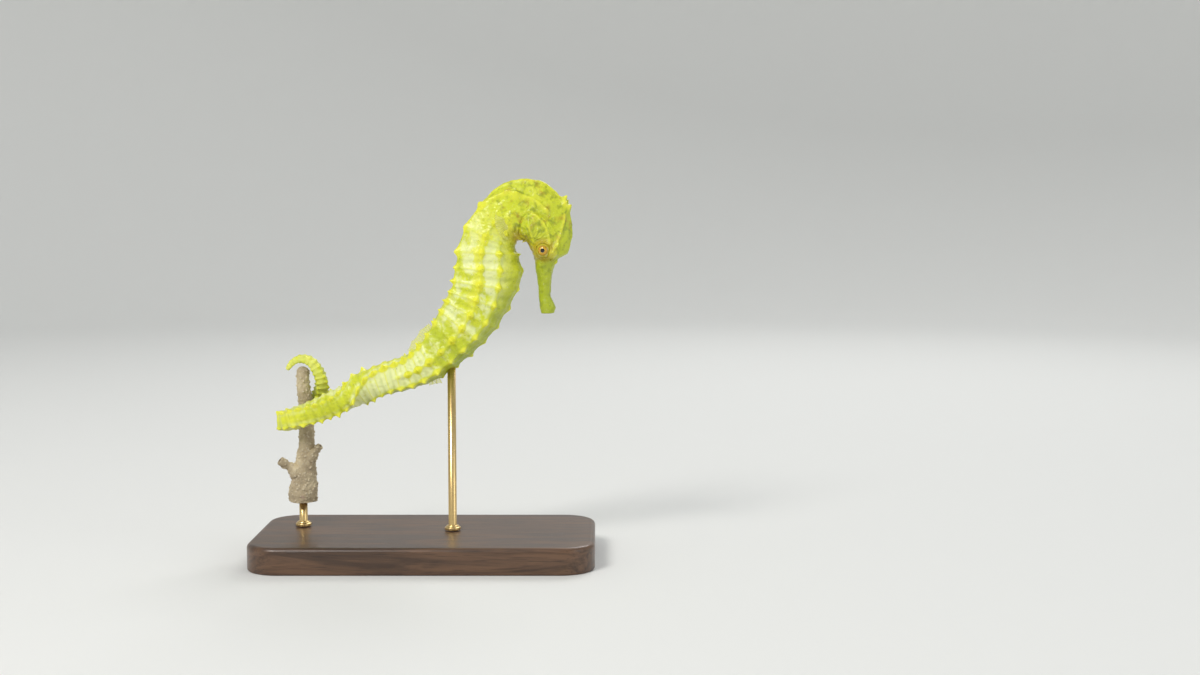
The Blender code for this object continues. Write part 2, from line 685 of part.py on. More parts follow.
def build():
    """Build every node."""
    clear_scene()
    yellow, pale = (0.58, 0.65, 0.03), (0.72, 0.76, 0.20)
    parts = build_body()
    for side, name in ((1, "eye_left"), (-1, "eye_right")):
        centre = eye_centre(side)
        socket = ball("socket", centre, EYE_RADIUS + GAP, 20, 12)
        cut(parts["head"], socket)
        discard(socket)
        dress(ball(name, centre, EYE_RADIUS), (0.55, 0.28, 0.03), 0.15)
    shell = body_length("shell", 14.0, 100.0, GAP)
    fins = [dorsal_fin(), anal_fin()]
    fins += [pectoral_fin("fin_pectoral_left", 1), pectoral_fin("fin_pectoral_right", -1)]
    top = crown()
    for thing in fins + [top]:
        cut(thing, shell)
    low = skin_point(BODY_ROD_STATION, 180.0)
    x, y = BODY.axis
    body_rod = rod("stand_rod_body", low[0], 0.0, BASE_THICKNESS + GAP, low[2] + 4.0)
    cut(body_rod, shell)
    discard(shell)
    perch_rod = rod("stand_rod_perch", x - PERCH_SWAY, y, BASE_THICKNESS + GAP, PERCH_BOTTOM - GAP)
    for name, thing in parts.items():
        dress(thing, yellow if name in ("head", "snout", "neck") else pale, 0.45)
    for thing in fins:
        dress(thing, (0.78, 0.76, 0.35), 0.35)
    dress(top, yellow, 0.45)
    dress(perch(), (0.47, 0.41, 0.30), 0.85)
    dress(base(), (0.10, 0.055, 0.03), 0.4, 0.0, 30.0)
    dress(body_rod, (0.72, 0.52, 0.22), 0.25, 1.0, 30.0)
    dress(perch_rod, (0.72, 0.52, 0.22), 0.25, 1.0, 30.0)


BODY = Body()
build()
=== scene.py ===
# %% [markdown]
# A yellow seahorse holding a cut length of sea-fan stem, shown as a museum shows it: on a flat
# wooden base with two brass rods.  The solid parts come packed in one frame.  This lesson lays
# a single living skin over the solid lengths of the body, then adds eyes, clear fins, the
# knobbly stem, and the finishes of the stand.

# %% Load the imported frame
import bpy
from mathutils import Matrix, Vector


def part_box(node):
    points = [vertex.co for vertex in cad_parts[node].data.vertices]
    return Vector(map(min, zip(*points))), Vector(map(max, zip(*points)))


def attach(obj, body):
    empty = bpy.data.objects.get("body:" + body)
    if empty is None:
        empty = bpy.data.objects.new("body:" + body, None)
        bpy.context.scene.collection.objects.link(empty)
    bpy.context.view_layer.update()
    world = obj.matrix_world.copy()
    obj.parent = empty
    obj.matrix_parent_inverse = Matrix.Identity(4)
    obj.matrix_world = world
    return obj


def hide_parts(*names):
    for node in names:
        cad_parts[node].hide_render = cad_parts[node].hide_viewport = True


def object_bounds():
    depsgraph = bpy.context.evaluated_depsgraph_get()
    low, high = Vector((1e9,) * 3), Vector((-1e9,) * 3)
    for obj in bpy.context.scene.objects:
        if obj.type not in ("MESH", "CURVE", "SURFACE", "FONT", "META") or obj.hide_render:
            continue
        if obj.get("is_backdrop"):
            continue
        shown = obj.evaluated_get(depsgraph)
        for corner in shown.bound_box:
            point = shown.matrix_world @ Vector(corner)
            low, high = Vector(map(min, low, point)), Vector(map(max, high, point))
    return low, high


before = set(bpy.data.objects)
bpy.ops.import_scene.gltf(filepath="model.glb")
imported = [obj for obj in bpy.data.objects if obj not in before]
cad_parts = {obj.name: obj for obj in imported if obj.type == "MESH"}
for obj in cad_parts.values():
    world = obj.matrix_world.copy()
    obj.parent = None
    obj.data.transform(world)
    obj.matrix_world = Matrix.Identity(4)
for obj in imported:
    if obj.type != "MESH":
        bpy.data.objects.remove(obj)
cad_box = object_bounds()
print("solid parts:", len(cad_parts))

# %% [markdown]
# All the sizes below are in millimetres, as a maker would measure the animal, and each mesh is
# scaled down once, when its points are written.  Grids of points are worked out with arrays,
# because a skin this fine would take minutes point by point.

# %% Tools used all the way through
import bpy
import numpy as np
from math import cos, pi, radians, sin
from mathutils import Vector

MM = 0.001


def add_object(name, data):
    """An object in the scene that shows some data: a mesh, a camera or a lamp."""
    made = bpy.data.objects.new(name, data)
    bpy.context.scene.collection.objects.link(made)
    return made


print("working in millimetres, scaled by", MM)

# %% [markdown]
# The camera comes first, because it settles how large every detail is seen.  A 50 mm lens half
# a metre away shows the side of the animal nearly without perspective, from just above the
# level of its body.

# %% Camera
CAMERA_AIM = Vector((52.5, 0.0, 66.7)) * MM
CAMERA_RISE = radians(5.0)
CAMERA_DISTANCE, CAMERA_NEAREST = 0.5, 0.01
CAMERA_LENS, CAMERA_FILM = 50.0, 36.0


def make_camera():
    """A still camera looking along +Y and slightly down."""
    data = bpy.data.cameras.new("camera")
    data.lens = CAMERA_LENS
    data.sensor_width = CAMERA_FILM
    data.clip_start = CAMERA_NEAREST
    made = add_object("camera", data)
    back = Vector((0.0, -cos(CAMERA_RISE), sin(CAMERA_RISE)))
    made.location = CAMERA_AIM + back * CAMERA_DISTANCE
    made.rotation_euler = (radians(90.0) - CAMERA_RISE, 0.0, 0.0)
    return made


bpy.context.scene.camera = make_camera()
print("camera at", tuple(round(v, 3) for v in bpy.context.scene.camera.location))

# %% [markdown]
# A finish is a web of nodes.  It could be drawn by hand in the shader editor, but as arithmetic
# it is easier to read and to change.  Value wraps one output socket, and its operators add Math
# nodes.  Paint is the material being made, and its `node` adds any other kind.


# %% Shader arithmetic
class Paint:
    """A material being built, and the nodes it needs."""

    def __init__(self, name):
        self.material = bpy.data.materials.new(name)
        self.material.use_nodes = True
        self.tree = self.material.node_tree
        self.shader = self.tree.nodes["Principled BSDF"]

    def node(self, kind, settings=None, sockets=None, out=0):
        """Add a node, set it up, fill or link its sockets, and hand back one output."""
        made = self.tree.nodes.new(kind)
        for key, value in (settings or {}).items():
            setattr(made, key, value)
        for key, value in (sockets or {}).items():
            self.feed(made.inputs[key], value)
        return Value(self, made.outputs[out])

    def feed(self, socket, value):
        """Link a wrapped socket, or set a plain value."""
        if isinstance(value, Value):
            self.tree.links.new(value.socket, socket)
        elif isinstance(value, tuple) and len(value) == 3 and socket.type == "RGBA":
            socket.default_value = (*value, 1.0)
        else:
            socket.default_value = value

    def set(self, **values):
        """Set sockets of the main shader, with _ for a space in a name."""
        for key, value in values.items():
            self.feed(self.shader.inputs[key.replace("_", " ")], value)

    def math(self, operation, *terms):
        """One Math node over values and plain numbers."""
        return self.node("ShaderNodeMath", {"operation": operation}, dict(enumerate(terms)))

    def mix(self, share, first, second):
        """Blend two colours."""
        return self.node("ShaderNodeMix", {"data_type": "RGBA"}, {0: share, 6: first, 7: second}, out=2)

    def coats(self, colour, *layers):
        """Lay colours over a first one; each layer is the share that covers and its colour."""
        for share, tint in layers:
            colour = self.mix(share, colour, tint)
        return colour

    def place(self, scale=(1.0, 1.0, 1.0)):
        """Coordinates in metres on the object, stretched by scale."""
        here = self.node("ShaderNodeTexCoord", out=3)
        return self.node("ShaderNodeMapping", {}, {"Vector": here, "Scale": scale})

    def noise(self, where, scale, detail=3.0, rough=0.55, swirl=0.0):
        """Soft noise from 0 to 1; swirl bends its blots."""
        sockets = {"Vector": where, "Scale": scale, "Detail": detail}
        sockets.update({"Roughness": rough, "Distortion": swirl})
        return self.node("ShaderNodeTexNoise", {}, sockets)

    def cells(self, where, scale):
        """Distance to the nearest of many scattered points."""
        return self.node("ShaderNodeTexVoronoi", {}, {"Vector": where, "Scale": scale})

    def carried(self, name):
        """A value stored on the mesh's points."""
        return self.node("ShaderNodeAttribute", {"attribute_name": name}, out=2)

    def bump(self, height, strength, distance):
        """Turn a height into a bent normal."""
        sockets = {"Height": height, "Strength": strength, "Distance": distance}
        return self.node("ShaderNodeBump", {}, sockets)


class Value:
    """One output socket with arithmetic."""

    def __init__(self, paint, socket):
        self.paint, self.socket = paint, socket

    def __add__(self, other):
        return self.paint.math("ADD", self, other)

    def __sub__(self, other):
        return self.paint.math("SUBTRACT", self, other)

    def __mul__(self, other):
        return self.paint.math("MULTIPLY", self, other)

    def __rsub__(self, other):
        return self.paint.math("SUBTRACT", other, self)

    __radd__ = __add__
    __rmul__ = __mul__

    def ramp(self, low, high):
        """0 at low, 1 at high, eased between; low may be the larger."""
        sockets = {"Value": self, "From Min": low, "From Max": high}
        return self.paint.node("ShaderNodeMapRange", {"interpolation_type": "SMOOTHSTEP"}, sockets)

    def clip(self):
        """The value held between 0 and 1."""
        return self.paint.node("ShaderNodeClamp", {}, {"Value": self})


print("shader arithmetic ready")

# %% [markdown]
# Nearly every piece below is a stack of rings: the skin, the eyes, the stem, the board, the rods
# and the studio floor.  Bevelled curves and the Screw modifier could give some of them.  One
# helper that turns a grid of points into a mesh gives them all, and it can keep values on the
# points, such as how raised each one is, for the paint to read.


# %% A mesh from rings
def grid_object(name, grid, carried, cap=True):
    """A mesh object from rings of points in millimetres; cap adds a flat face over each end."""
    rows, columns = grid.shape[:2]
    ring = np.arange(columns)
    first = np.arange(rows - 1)[:, None] * columns + ring
    right = np.arange(rows - 1)[:, None] * columns + np.roll(ring, -1)
    corners = np.stack([first, right, right + columns, first + columns], axis=-1).ravel()
    sizes = np.full(first.size, 4)
    if cap:
        corners = np.concatenate([corners, ring[::-1], (rows - 1) * columns + ring])
        sizes = np.append(sizes, [columns, columns])
    mesh = bpy.data.meshes.new(name)
    mesh.vertices.add(rows * columns)
    mesh.vertices.foreach_set("co", (grid * MM).ravel().astype(np.float32))
    mesh.loops.add(len(corners))
    mesh.loops.foreach_set("vertex_index", corners.astype(np.int32))
    mesh.polygons.add(len(sizes))
    mesh.polygons.foreach_set("loop_start", (np.cumsum(sizes) - sizes).astype(np.int32))
    mesh.update(calc_edges=True)
    for key, values in carried.items():
        layer = mesh.attributes.new(key, "FLOAT", "POINT")
        layer.data.foreach_set("value", np.asarray(values, dtype=np.float32))
    mesh.shade_smooth()
    return add_object(name, mesh)


def once_round(count):
    """Evenly spaced angles of one full turn."""
    return np.linspace(0.0, 2 * pi, count, endpoint=False)


def turned(profile, sides, middle=(0.0, 0.0)):
    """Rings from a profile of radius and height, turned about an upright line."""
    x, y = middle
    spin = once_round(sides)
    return np.array([[(x + r * cos(a), y + r * sin(a), z) for a in spin] for r, z in profile])


print("helpers for rings ready")

# %% [markdown]
# A pale round sweep gives the model a floor and a wall in one piece, so there is no corner
# behind it from any side.  Three broad soft lamps light it: one high on the left, a weaker one
# on the right and one from behind to draw the edges of the clear fins.  Small lamps would
# glint more on the brass, but their hard shadows would hide the rings of the skin.

# %% Studio
FLOOR_RADIUS, BEND_RADIUS, WALL_TOP = 900.0, 500.0, 1500.0
SWEEP_SIDES, BEND_STEPS = 96, 16
PAPER_PALE, PAPER_GREY = (0.80, 0.80, 0.78), (0.72, 0.72, 0.71)
LAMP_AIM = (0.0, 0.0, 0.07)
AIR_COLOUR, AIR_POWER = (0.82, 0.86, 0.9, 1.0), 0.48


def make_sweep():
    """A round floor that curves up into a wall all the way round."""
    profile = [(0.001, 0.0), (FLOOR_RADIUS / 3, 0.0), (FLOOR_RADIUS, 0.0)]
    for k in range(1, BEND_STEPS + 1):
        a = pi / 2 * k / BEND_STEPS
        profile.append((FLOOR_RADIUS + BEND_RADIUS * sin(a), BEND_RADIUS - BEND_RADIUS * cos(a)))
    profile.append((FLOOR_RADIUS + BEND_RADIUS, WALL_TOP))
    sweep = grid_object("studio_sweep", turned(profile, SWEEP_SIDES), {}, cap=False)
    paper = Paint("studio_paper")
    grain = paper.noise(paper.place(), 900.0, 2.0)
    paper.set(Base_Color=paper.mix(grain * 0.12, PAPER_PALE, PAPER_GREY), Roughness=0.9)
    sweep.data.materials.append(paper.material)
    sweep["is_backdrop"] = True


def make_lamp(name, place, size, power, tint=(1.0, 1.0, 1.0)):
    """A square soft lamp turned to the animal."""
    data = bpy.data.lights.new(name, "AREA")
    data.size = size
    data.energy = power
    data.color = tint
    lamp = add_object(name, data)
    lamp.location = place
    lamp.rotation_euler = (Vector(LAMP_AIM) - Vector(place)).to_track_quat("-Z", "Y").to_euler()


make_sweep()
make_lamp("lamp_key", (-0.45, -0.70, 0.80), 0.36, 7.2, (1.0, 0.98, 0.95))
make_lamp("lamp_fill", (0.80, -0.40, 0.35), 0.50, 1.1, (0.95, 0.98, 1.0))
make_lamp("lamp_back", (0.30, 0.65, 0.75), 0.45, 3.0)
world = bpy.data.worlds.new("studio_air")
world.use_nodes = True
air = world.node_tree.nodes["Background"]
air.inputs["Color"].default_value = AIR_COLOUR
air.inputs["Strength"].default_value = AIR_POWER
bpy.context.scene.world = world
bpy.context.scene.view_settings.view_transform = "Standard"
print("studio: sweep, three lamps")

# %% [markdown]
# The middle line of a seahorse's body is a few stretches that each turn by a set amount: the
# straight snout, the head bowed over the neck, the swelling trunk and the tail.  Past the hips
# the tail twists its belly to the stem, winds once round it and hooks over its top.  A curve
# dragged by hand could follow it too, but these same numbers shape the solid parts, so the
# skin lands exactly over them.

# %% The line of the body
SNOUT_TIP, SNOUT_HEADING = (36.5, 74.4), 91.5
# Name, length and turn in degrees of each stretch.
STRETCHES = (("snout", 15.0, -2.0), ("face", 4.5, 0.0), ("cheek", 9.9, 64.0), ("nape", 9.2, 65.0),
             ("neck", 10.9, 53.0), ("chest", 10.5, -11.0), ("belly", 12.0, -27.0), ("waist", 14.0, -14.0),
             ("hips", 12.0, -27.0), ("tail_root", 14.0, 16.0), ("tail_straight", 18.0, -9.0))
BEND_BLEND, STEP = 5.0, 0.25


def running(steps):
    """The running total of some steps, from 0."""
    return np.concatenate([[0.0], np.cumsum(steps)])


def distance_along(points):
    """How far along a line of points each one is."""
    return running(np.linalg.norm(np.diff(points, axis=0), axis=1))


def blend_window(count):
    """Weights for a soft average over neighbours."""
    window = np.hanning(count)
    return window / window.sum()


def flat_route():
    """The part of the line that lies in the animal's own middle plane."""
    lengths = [length for _, length, _ in STRETCHES]
    count = int(round(sum(lengths) / STEP))
    ds = sum(lengths) / count
    which = np.searchsorted(np.cumsum(lengths), (np.arange(count) + 0.5) * ds)
    bend = np.array([radians(turn) / length for _, length, turn in STRETCHES])[which]
    window = blend_window(int(BEND_BLEND / STEP) + 2)
    reach = len(window)
    bend = np.convolve(np.pad(bend, reach, mode="edge"), window, mode="same")[reach:-reach]
    heading = radians(SNOUT_HEADING) + running(bend) * ds
    mid = 0.5 * (heading[1:] + heading[:-1])
    x = SNOUT_TIP[0] + running(np.cos(mid)) * ds
    z = SNOUT_TIP[1] + running(np.sin(mid)) * ds
    return np.stack([x, np.zeros_like(x), z], axis=1)


flat_line = flat_route()
print("flat part of the line:", round(distance_along(flat_line)[-1], 1), "mm")

# %% [markdown]
# A seahorse holds on with its tail, belly side inwards.  The tail's way round the stem is a few
# guide points, each at an angle round the stem and a height, joined by a smooth line.  A plain
# helix would be shorter to write, but the tail has to ease out of the straight and hook over
# the top.

# %% The grip of the tail
PERCH_RADIUS, PERCH_ROOT_RADIUS, PERCH_TIP_RADIUS = 2.5, 4.6, 2.1
PERCH_SWAY, PERCH_TIP_SWAY = 1.3, 0.9
PERCH_BOTTOM, PERCH_GRIP, PERCH_TOP = 16.0, 39.0, 55.7
GRIP_GAP, GRIP_REACH, GRIP_REACH_TURN = 0.55, (3.3, 1.75), 270.0
GRIP_TURNS = (0, 45, 90, 135, 180, 225, 250)
GRIP_HEIGHTS = (0.0, -1.5, -2.3, -1.5, 0.9, 5.0, 8.6)
HOOK_HEIGHT, HOOK_RADIUS, HOOK_SHIFT, HOOK_LEAN = 12.2, 4.6, 1.0, 0.6
HOOK_ANGLES = (16, 53, 90, 127, 160)
STEPS_BETWEEN_GUIDES = 40


def ease(value, low, high):
    """0 below low, 1 above high, eased between."""
    t = np.clip((value - low) / (high - low), 0.0, 1.0)
    return t * t * (3.0 - 2.0 * t)


def grip_points(start):
    """Guide points for the turn round the stem and the hook over its top."""
    axis_y = PERCH_RADIUS + GRIP_GAP + GRIP_REACH[0]
    points = []
    for turn, rise in zip(GRIP_TURNS, GRIP_HEIGHTS):
        reach = GRIP_REACH[0] + (GRIP_REACH[1] - GRIP_REACH[0]) * turn / GRIP_REACH_TURN
        radius = PERCH_RADIUS + GRIP_GAP + reach
        angle = radians(turn)
        points.append((start[0] - radius * sin(angle), axis_y - radius * cos(angle), start[2] + rise))
    for turn in HOOK_ANGLES:
        angle = radians(turn)
        points.append((start[0] - HOOK_SHIFT + HOOK_RADIUS * cos(angle), axis_y - HOOK_LEAN * sin(angle),
                       start[2] + HOOK_HEIGHT + HOOK_RADIUS * sin(angle)))
    return np.array(points), (start[0], axis_y)


def read_at(where, along, rows):
    """Rows of numbers read at other places along them."""
    return np.stack([np.interp(where, along, column) for column in rows.T], axis=-1)


def through(points, spacing):
    """A smooth line through guide points, as points a fixed spacing apart."""
    chord = distance_along(points)
    slope = np.gradient(points, chord, axis=0)
    dense = []
    for i in range(len(points) - 1):
        h = chord[i + 1] - chord[i]
        u = np.linspace(0.0, 1.0, STEPS_BETWEEN_GUIDES, endpoint=False)[:, None]
        dense.append((2 * u**3 - 3 * u**2 + 1) * points[i] + (u**3 - 2 * u**2 + u) * h * slope[i]
                     + (3 * u**2 - 2 * u**3) * points[i + 1] + (u**3 - u**2) * h * slope[i + 1])
    dense = np.concatenate(dense + [points[-1:]])
    along = distance_along(dense)
    return read_at(np.linspace(0.0, along[-1], int(along[-1] / spacing) + 1), along, dense)


def soften(points, first, width, passes):
    """Average the points past the first few with their neighbours, keeping both ends."""
    result = points.copy()
    for _ in range(passes):
        padded = np.pad(result, ((width, width), (0, 0)), mode="reflect", reflect_type="odd")
        mean = np.mean([padded[k:k + len(result)] for k in range(2 * width + 1)], axis=0)
        blend = ease(np.arange(len(result)), first, first + 4 * width)[:, None]
        result = result + (mean - result) * blend
    return result


print("guide points of the grip:", len(GRIP_TURNS) + len(HOOK_ANGLES))

# %% [markdown]
# A tube needs more than a line: at each point it must know which way the back faces.  Blender's
# curves work that out by themselves, but they would not turn the belly to the stem or roll the
# head a little to its right, so the directions are worked out here.

# %% Which way the back faces
TWIST = (98.0, 128.0)           # where the belly turns to the stem, in mm from the mouth
HEAD_ROLL, HEAD_ROLL_FADE = 14.0, (20.0, 42.0)      # degrees, and where it fades out
LEAD, JOIN = 6.0, 4.0           # how much straight tail is redrawn, and where softening starts in it


def unit(vectors):
    """The same directions, one long."""
    return vectors / np.linalg.norm(vectors, axis=-1, keepdims=True)


class Body:
    """The middle line with its tailward, dorsal and left directions."""

    def __init__(self):
        self.start = flat_line[-1]
        grip, self.axis = grip_points(self.start)
        keep = len(flat_line) - 1 - int(LEAD / STEP)
        lead = flat_line[keep::int(0.5 * LEAD / STEP)][:-1]
        line = np.concatenate([flat_line[:keep], through(np.concatenate([lead, grip]), STEP)])
        self.points = soften(line, keep + int(JOIN / STEP), width=4, passes=3)
        self.s = distance_along(self.points)
        self.length = self.s[-1]
        self.tangent = unit(np.gradient(self.points, self.s, axis=0))
        self.dorsal = self.dorsal_directions()
        self.left = np.cross(self.tangent, self.dorsal)

    def dorsal_directions(self):
        """The dorsal side faces away from the belly, and on the coil away from the stem."""
        t = self.tangent
        flat = np.stack([t[:, 2], np.zeros(len(t)), -t[:, 0]], axis=1)
        flat[self.s > TWIST[1]] = (0.0, 0.0, 1.0)
        centre = np.tile((self.axis[0], self.axis[1], 0.0), (len(t), 1))
        centre[:, 2] = np.minimum(self.points[:, 2], self.start[2] + HOOK_HEIGHT)
        away = self.points - centre
        away = unit(away - t * np.sum(away * t, axis=1)[:, None])
        blend = ease(self.s, *TWIST)[:, None]
        dorsal = flat * np.cos(blend * pi / 2) + away * np.sin(blend * pi / 2)
        dorsal = unit(dorsal - t * np.sum(dorsal * t, axis=1)[:, None])
        roll = radians(HEAD_ROLL) * (1.0 - ease(self.s, *HEAD_ROLL_FADE))[:, None]
        return dorsal * np.cos(roll) - np.cross(t, dorsal) * np.sin(roll)

    def frame(self, stations):
        """Points and directions at one or many stations."""
        point = read_at(stations, self.s, self.points)
        ways = (self.tangent, self.dorsal, self.left)
        return [point] + [unit(read_at(stations, self.s, way)) for way in ways]


body = Body()
print("body line:", round(body.length, 1), "mm from mouth to tail tip")

# %% [markdown]
# Around that line the body has a back reach, a belly reach and a half width at each station: a
# thin snout, a deep head with a sharp nape, a slimmer neck, a full belly and a long taper.
# A sculpted form would do as well, but a table of three numbers at each station is easier to
# correct, and the values between its rows are eased.

# %% Girth
# Distance from the mouth, back reach, belly reach and half width.
STATIONS = np.array((
    (0.0, 2.3, 1.7, 1.7), (1.2, 2.9, 2.0, 2.05), (2.6, 2.35, 2.05, 2.05), (4.6, 1.25, 2.25, 1.6),
    (8.0, 1.2, 2.45, 1.65), (10.0, 1.5, 2.7, 1.8), (13.0, 1.95, 3.1, 2.4), (15.3, 2.8, 3.3, 3.1),
    (16.4, 4.4, 3.6, 3.5), (17.4, 6.6, 3.9, 3.9), (20.0, 7.4, 4.7, 4.4), (22.5, 8.8, 5.2, 4.7),
    (25.0, 10.2, 5.6, 4.9), (27.5, 10.8, 6.5, 4.9), (30.0, 11.6, 7.0, 4.6), (32.5, 11.1, 7.2, 4.5),
    (35.0, 10.0, 7.4, 4.5), (37.5, 8.9, 7.6, 4.7), (40.0, 7.9, 7.8, 5.0), (45.0, 7.5, 8.5, 5.5),
    (50.0, 8.5, 9.5, 5.9), (55.0, 9.2, 10.7, 6.2), (60.0, 9.3, 9.3, 6.3), (65.0, 9.9, 7.7, 6.1),
    (70.0, 10.0, 6.7, 5.8), (75.0, 9.6, 6.1, 5.4), (80.0, 8.2, 5.4, 4.9), (85.0, 6.9, 4.9, 4.5),
    (90.0, 6.1, 4.8, 4.3), (95.0, 5.6, 4.5, 4.1), (100.0, 5.3, 4.3, 4.0), (110.0, 4.5, 4.0, 3.8),
    (120.0, 3.8, 3.6, 3.5), (130.0, 3.5, 3.3, 3.2), (145.0, 2.6, 2.5, 2.5), (160.0, 1.75, 1.65, 1.65),
    (170.0, 1.2, 1.15, 1.2), (176.0, 0.6, 0.6, 0.6)))
GIRTH_BLEND = 17                # the tenths of a millimetre that each girth is averaged over


def reaches(stations):
    """Back reach, belly reach and half width, eased between the stated stations."""
    dense = np.arange(-4.0, 190.0, 0.1)
    rows = read_at(dense, STATIONS[:, 0], STATIONS[:, 1:])
    soft = [np.convolve(row, blend_window(GIRTH_BLEND), mode="same") for row in rows.T]
    return [np.interp(stations, dense, row) for row in soft]


deepest = STATIONS[np.argmax(STATIONS[:, 1] + STATIONS[:, 2])]
print("trunk", round(deepest[1] + deepest[2], 1), "mm deep at", deepest[0], "mm from the mouth")

# %% [markdown]
# A seahorse has no scales: its skin is stretched over rings of bony plates.  Where the rings
# cross the ridges that run along the body, they rise into blunt knobs, taller on every second
# ring.  Cones set on a tube would show seams; one height worked out for every point of the
# tube keeps the skin in one piece.

# %% Rings, ridges and knobs
TRUNK_RINGS, TRUNK_START, TRUNK_END = 11, 37.0, 90.0
TAIL_RINGS, TAIL_PITCH_END = 36, 1.25
# Name, angle from the back on the trunk and on the tail, height of its knobs, and where it fades.
RIDGES = (("superior", 23.0, 40.0, 1.0, None), ("lateral", 84.0, 90.0, 0.9, (90.0, 104.0)),
          ("inferior", 128.0, 137.0, 0.7, None), ("ventral", 180.0, 180.0, 0.5, (84.0, 92.0)))
RIDGE_SHIFT = (84.0, 100.0)     # where the ridges move from their trunk to their tail angles
DORSAL_GROOVE = 0.45
RING_SWELL, RING_EDGE, EDGE_WIDTH = 0.16, 0.26, 0.13
TALL_RING_EVERY, TALL_GAIN, KNOB_SEED = 2, 1.4, 7
THROAT_CALM, THROAT_TURNS, THROAT_END = 0.8, (112.0, 150.0), (43.0, 50.0)


def ring_number(stations):
    """Ring number along the body: whole numbers are the raised middles of rings."""
    pitch = (TRUNK_END - TRUNK_START) / TRUNK_RINGS
    first = 2.0 * (body.length - TRUNK_END) / TAIL_RINGS - TAIL_PITCH_END
    slope = (TAIL_PITCH_END - first) / (body.length - TRUNK_END)
    past = np.maximum(stations - TRUNK_END, 0.0)
    on_tail = TRUNK_RINGS - 0.5 + np.log1p(slope * past / first) / slope
    return np.where(stations <= TRUNK_END, (stations - TRUNK_START) / pitch - 0.5, on_tail)


def ring_pitch(stations):
    """Distance between rings at each station."""
    return 1.0 / np.gradient(ring_number(stations), stations)


def knob_gains():
    """How tall each knob is: steady on the whole, never quite alike."""
    dice = np.random.RandomState(KNOB_SEED)
    gains = dice.uniform(0.72, 1.22, (TRUNK_RINGS + TAIL_RINGS + 4, len(RIDGES), 2))
    gains[::TALL_RING_EVERY] *= TALL_GAIN
    return gains


def bell(distance, width):
    """A smooth hump, 1 at its middle."""
    return np.exp(-(distance / width) ** 2)


def across(turn, angle, radius):
    """Distance round the body from an angle, in millimetres."""
    return radians(1.0) * (turn - angle) * radius


def between(first, last, share):
    """The value at a share of the way from first to last."""
    return first + (last - first) * share


def plate_relief(s, turn, left, radius):
    """Height of rings, ridges and knobs; s is a column, turn and left are rows."""
    size = np.interp(s, (30.0, 38.0, 90.0, 130.0, 160.0, body.length), (0.0, 0.8, 1.0, 0.66, 0.4, 0.12))
    number = ring_number(s)
    whole = np.round(number)
    phase = number - whole
    pitch = np.interp(s, stations_fine, ring_pitch(stations_fine))
    gains = knob_gains()
    index = np.clip(whole, 0, len(gains) - 1).astype(int)
    grow = 0.35 + 0.65 * np.interp(s, (90.0, 150.0, body.length), (1.0, 0.55, 0.35))
    edge = bell(phase, EDGE_WIDTH)
    height = RING_SWELL * np.cos(pi * phase) ** 2 + RING_EDGE * edge
    crest = 0.35 * edge
    shift = ease(s, *RIDGE_SHIFT)
    for row, (_, on_trunk, on_tail, knob, fade) in enumerate(RIDGES):
        off = across(turn, between(on_trunk, on_tail, shift), radius)
        shown = 1.0 if fade is None else 1.0 - ease(s, *fade)
        line = bell(off, 0.62 * grow)
        tall = np.where(left, gains[index, row, 0], gains[index, row, 1])
        near = (phase * pitch) ** 2 + off ** 2
        hump = np.exp(-near / grow ** 2)
        tip = np.exp(-near / (0.5 * grow) ** 2)
        swell = 0.34 * line + 0.18 * bell(off, 1.8 * grow)
        height = height + shown * (swell + knob * tall * (0.62 * hump + 0.34 * tip))
        crest = np.maximum(crest, shown * np.clip(0.35 * line + knob * tall * hump, 0.0, 1.0))
    top = between(*RIDGES[0][1:3], shift)
    groove = DORSAL_GROOVE * (1.0 - 0.8 * shift)
    height = height - groove * np.cos(pi / 2 * np.clip(turn / top, 0.0, 1.0)) ** 2
    size = size * (1.0 - THROAT_CALM * ease(turn, *THROAT_TURNS) * (1.0 - ease(s, *THROAT_END)))
    return height * size, crest * np.clip(size, 0.0, 1.0)


stations_fine = np.arange(30.0, body.length, 0.25)
print("rings on the trunk:", TRUNK_RINGS, " on the tail:", TAIL_RINGS)

# %% [markdown]
# The head carries the character.  Brows, a spine on the nose, one over each eye, swollen gill
# covers with fine lines fanning over them, a spine below each cheek and a knob on either side
# of the nape are all humps on the same skin, and nostrils and the edge of the gill cover are
# hollows.  They could be sculpted with a brush; as a list of places and heights, each can be
# moved by one number.

# %% Head forms
# Name, station, angle, rise, and size along and across.
HEAD_BUMPS = (("nose_spine", 14.9, 0.0, 0.9, 0.8, 0.8), ("brow", 17.6, 50.0, 0.9, 1.7, 1.5),
              ("eye_spine", 19.9, 40.0, 1.0, 0.8, 0.8), ("orbit", 18.6, 84.0, 0.7, 2.9, 2.7),
              ("gill_cover", 27.0, 104.0, 1.0, 4.6, 4.4), ("cheek_spine", 24.4, 150.0, 0.9, 0.9, 0.9),
              ("nape_knob", 33.6, 30.0, 0.6, 1.1, 1.0))
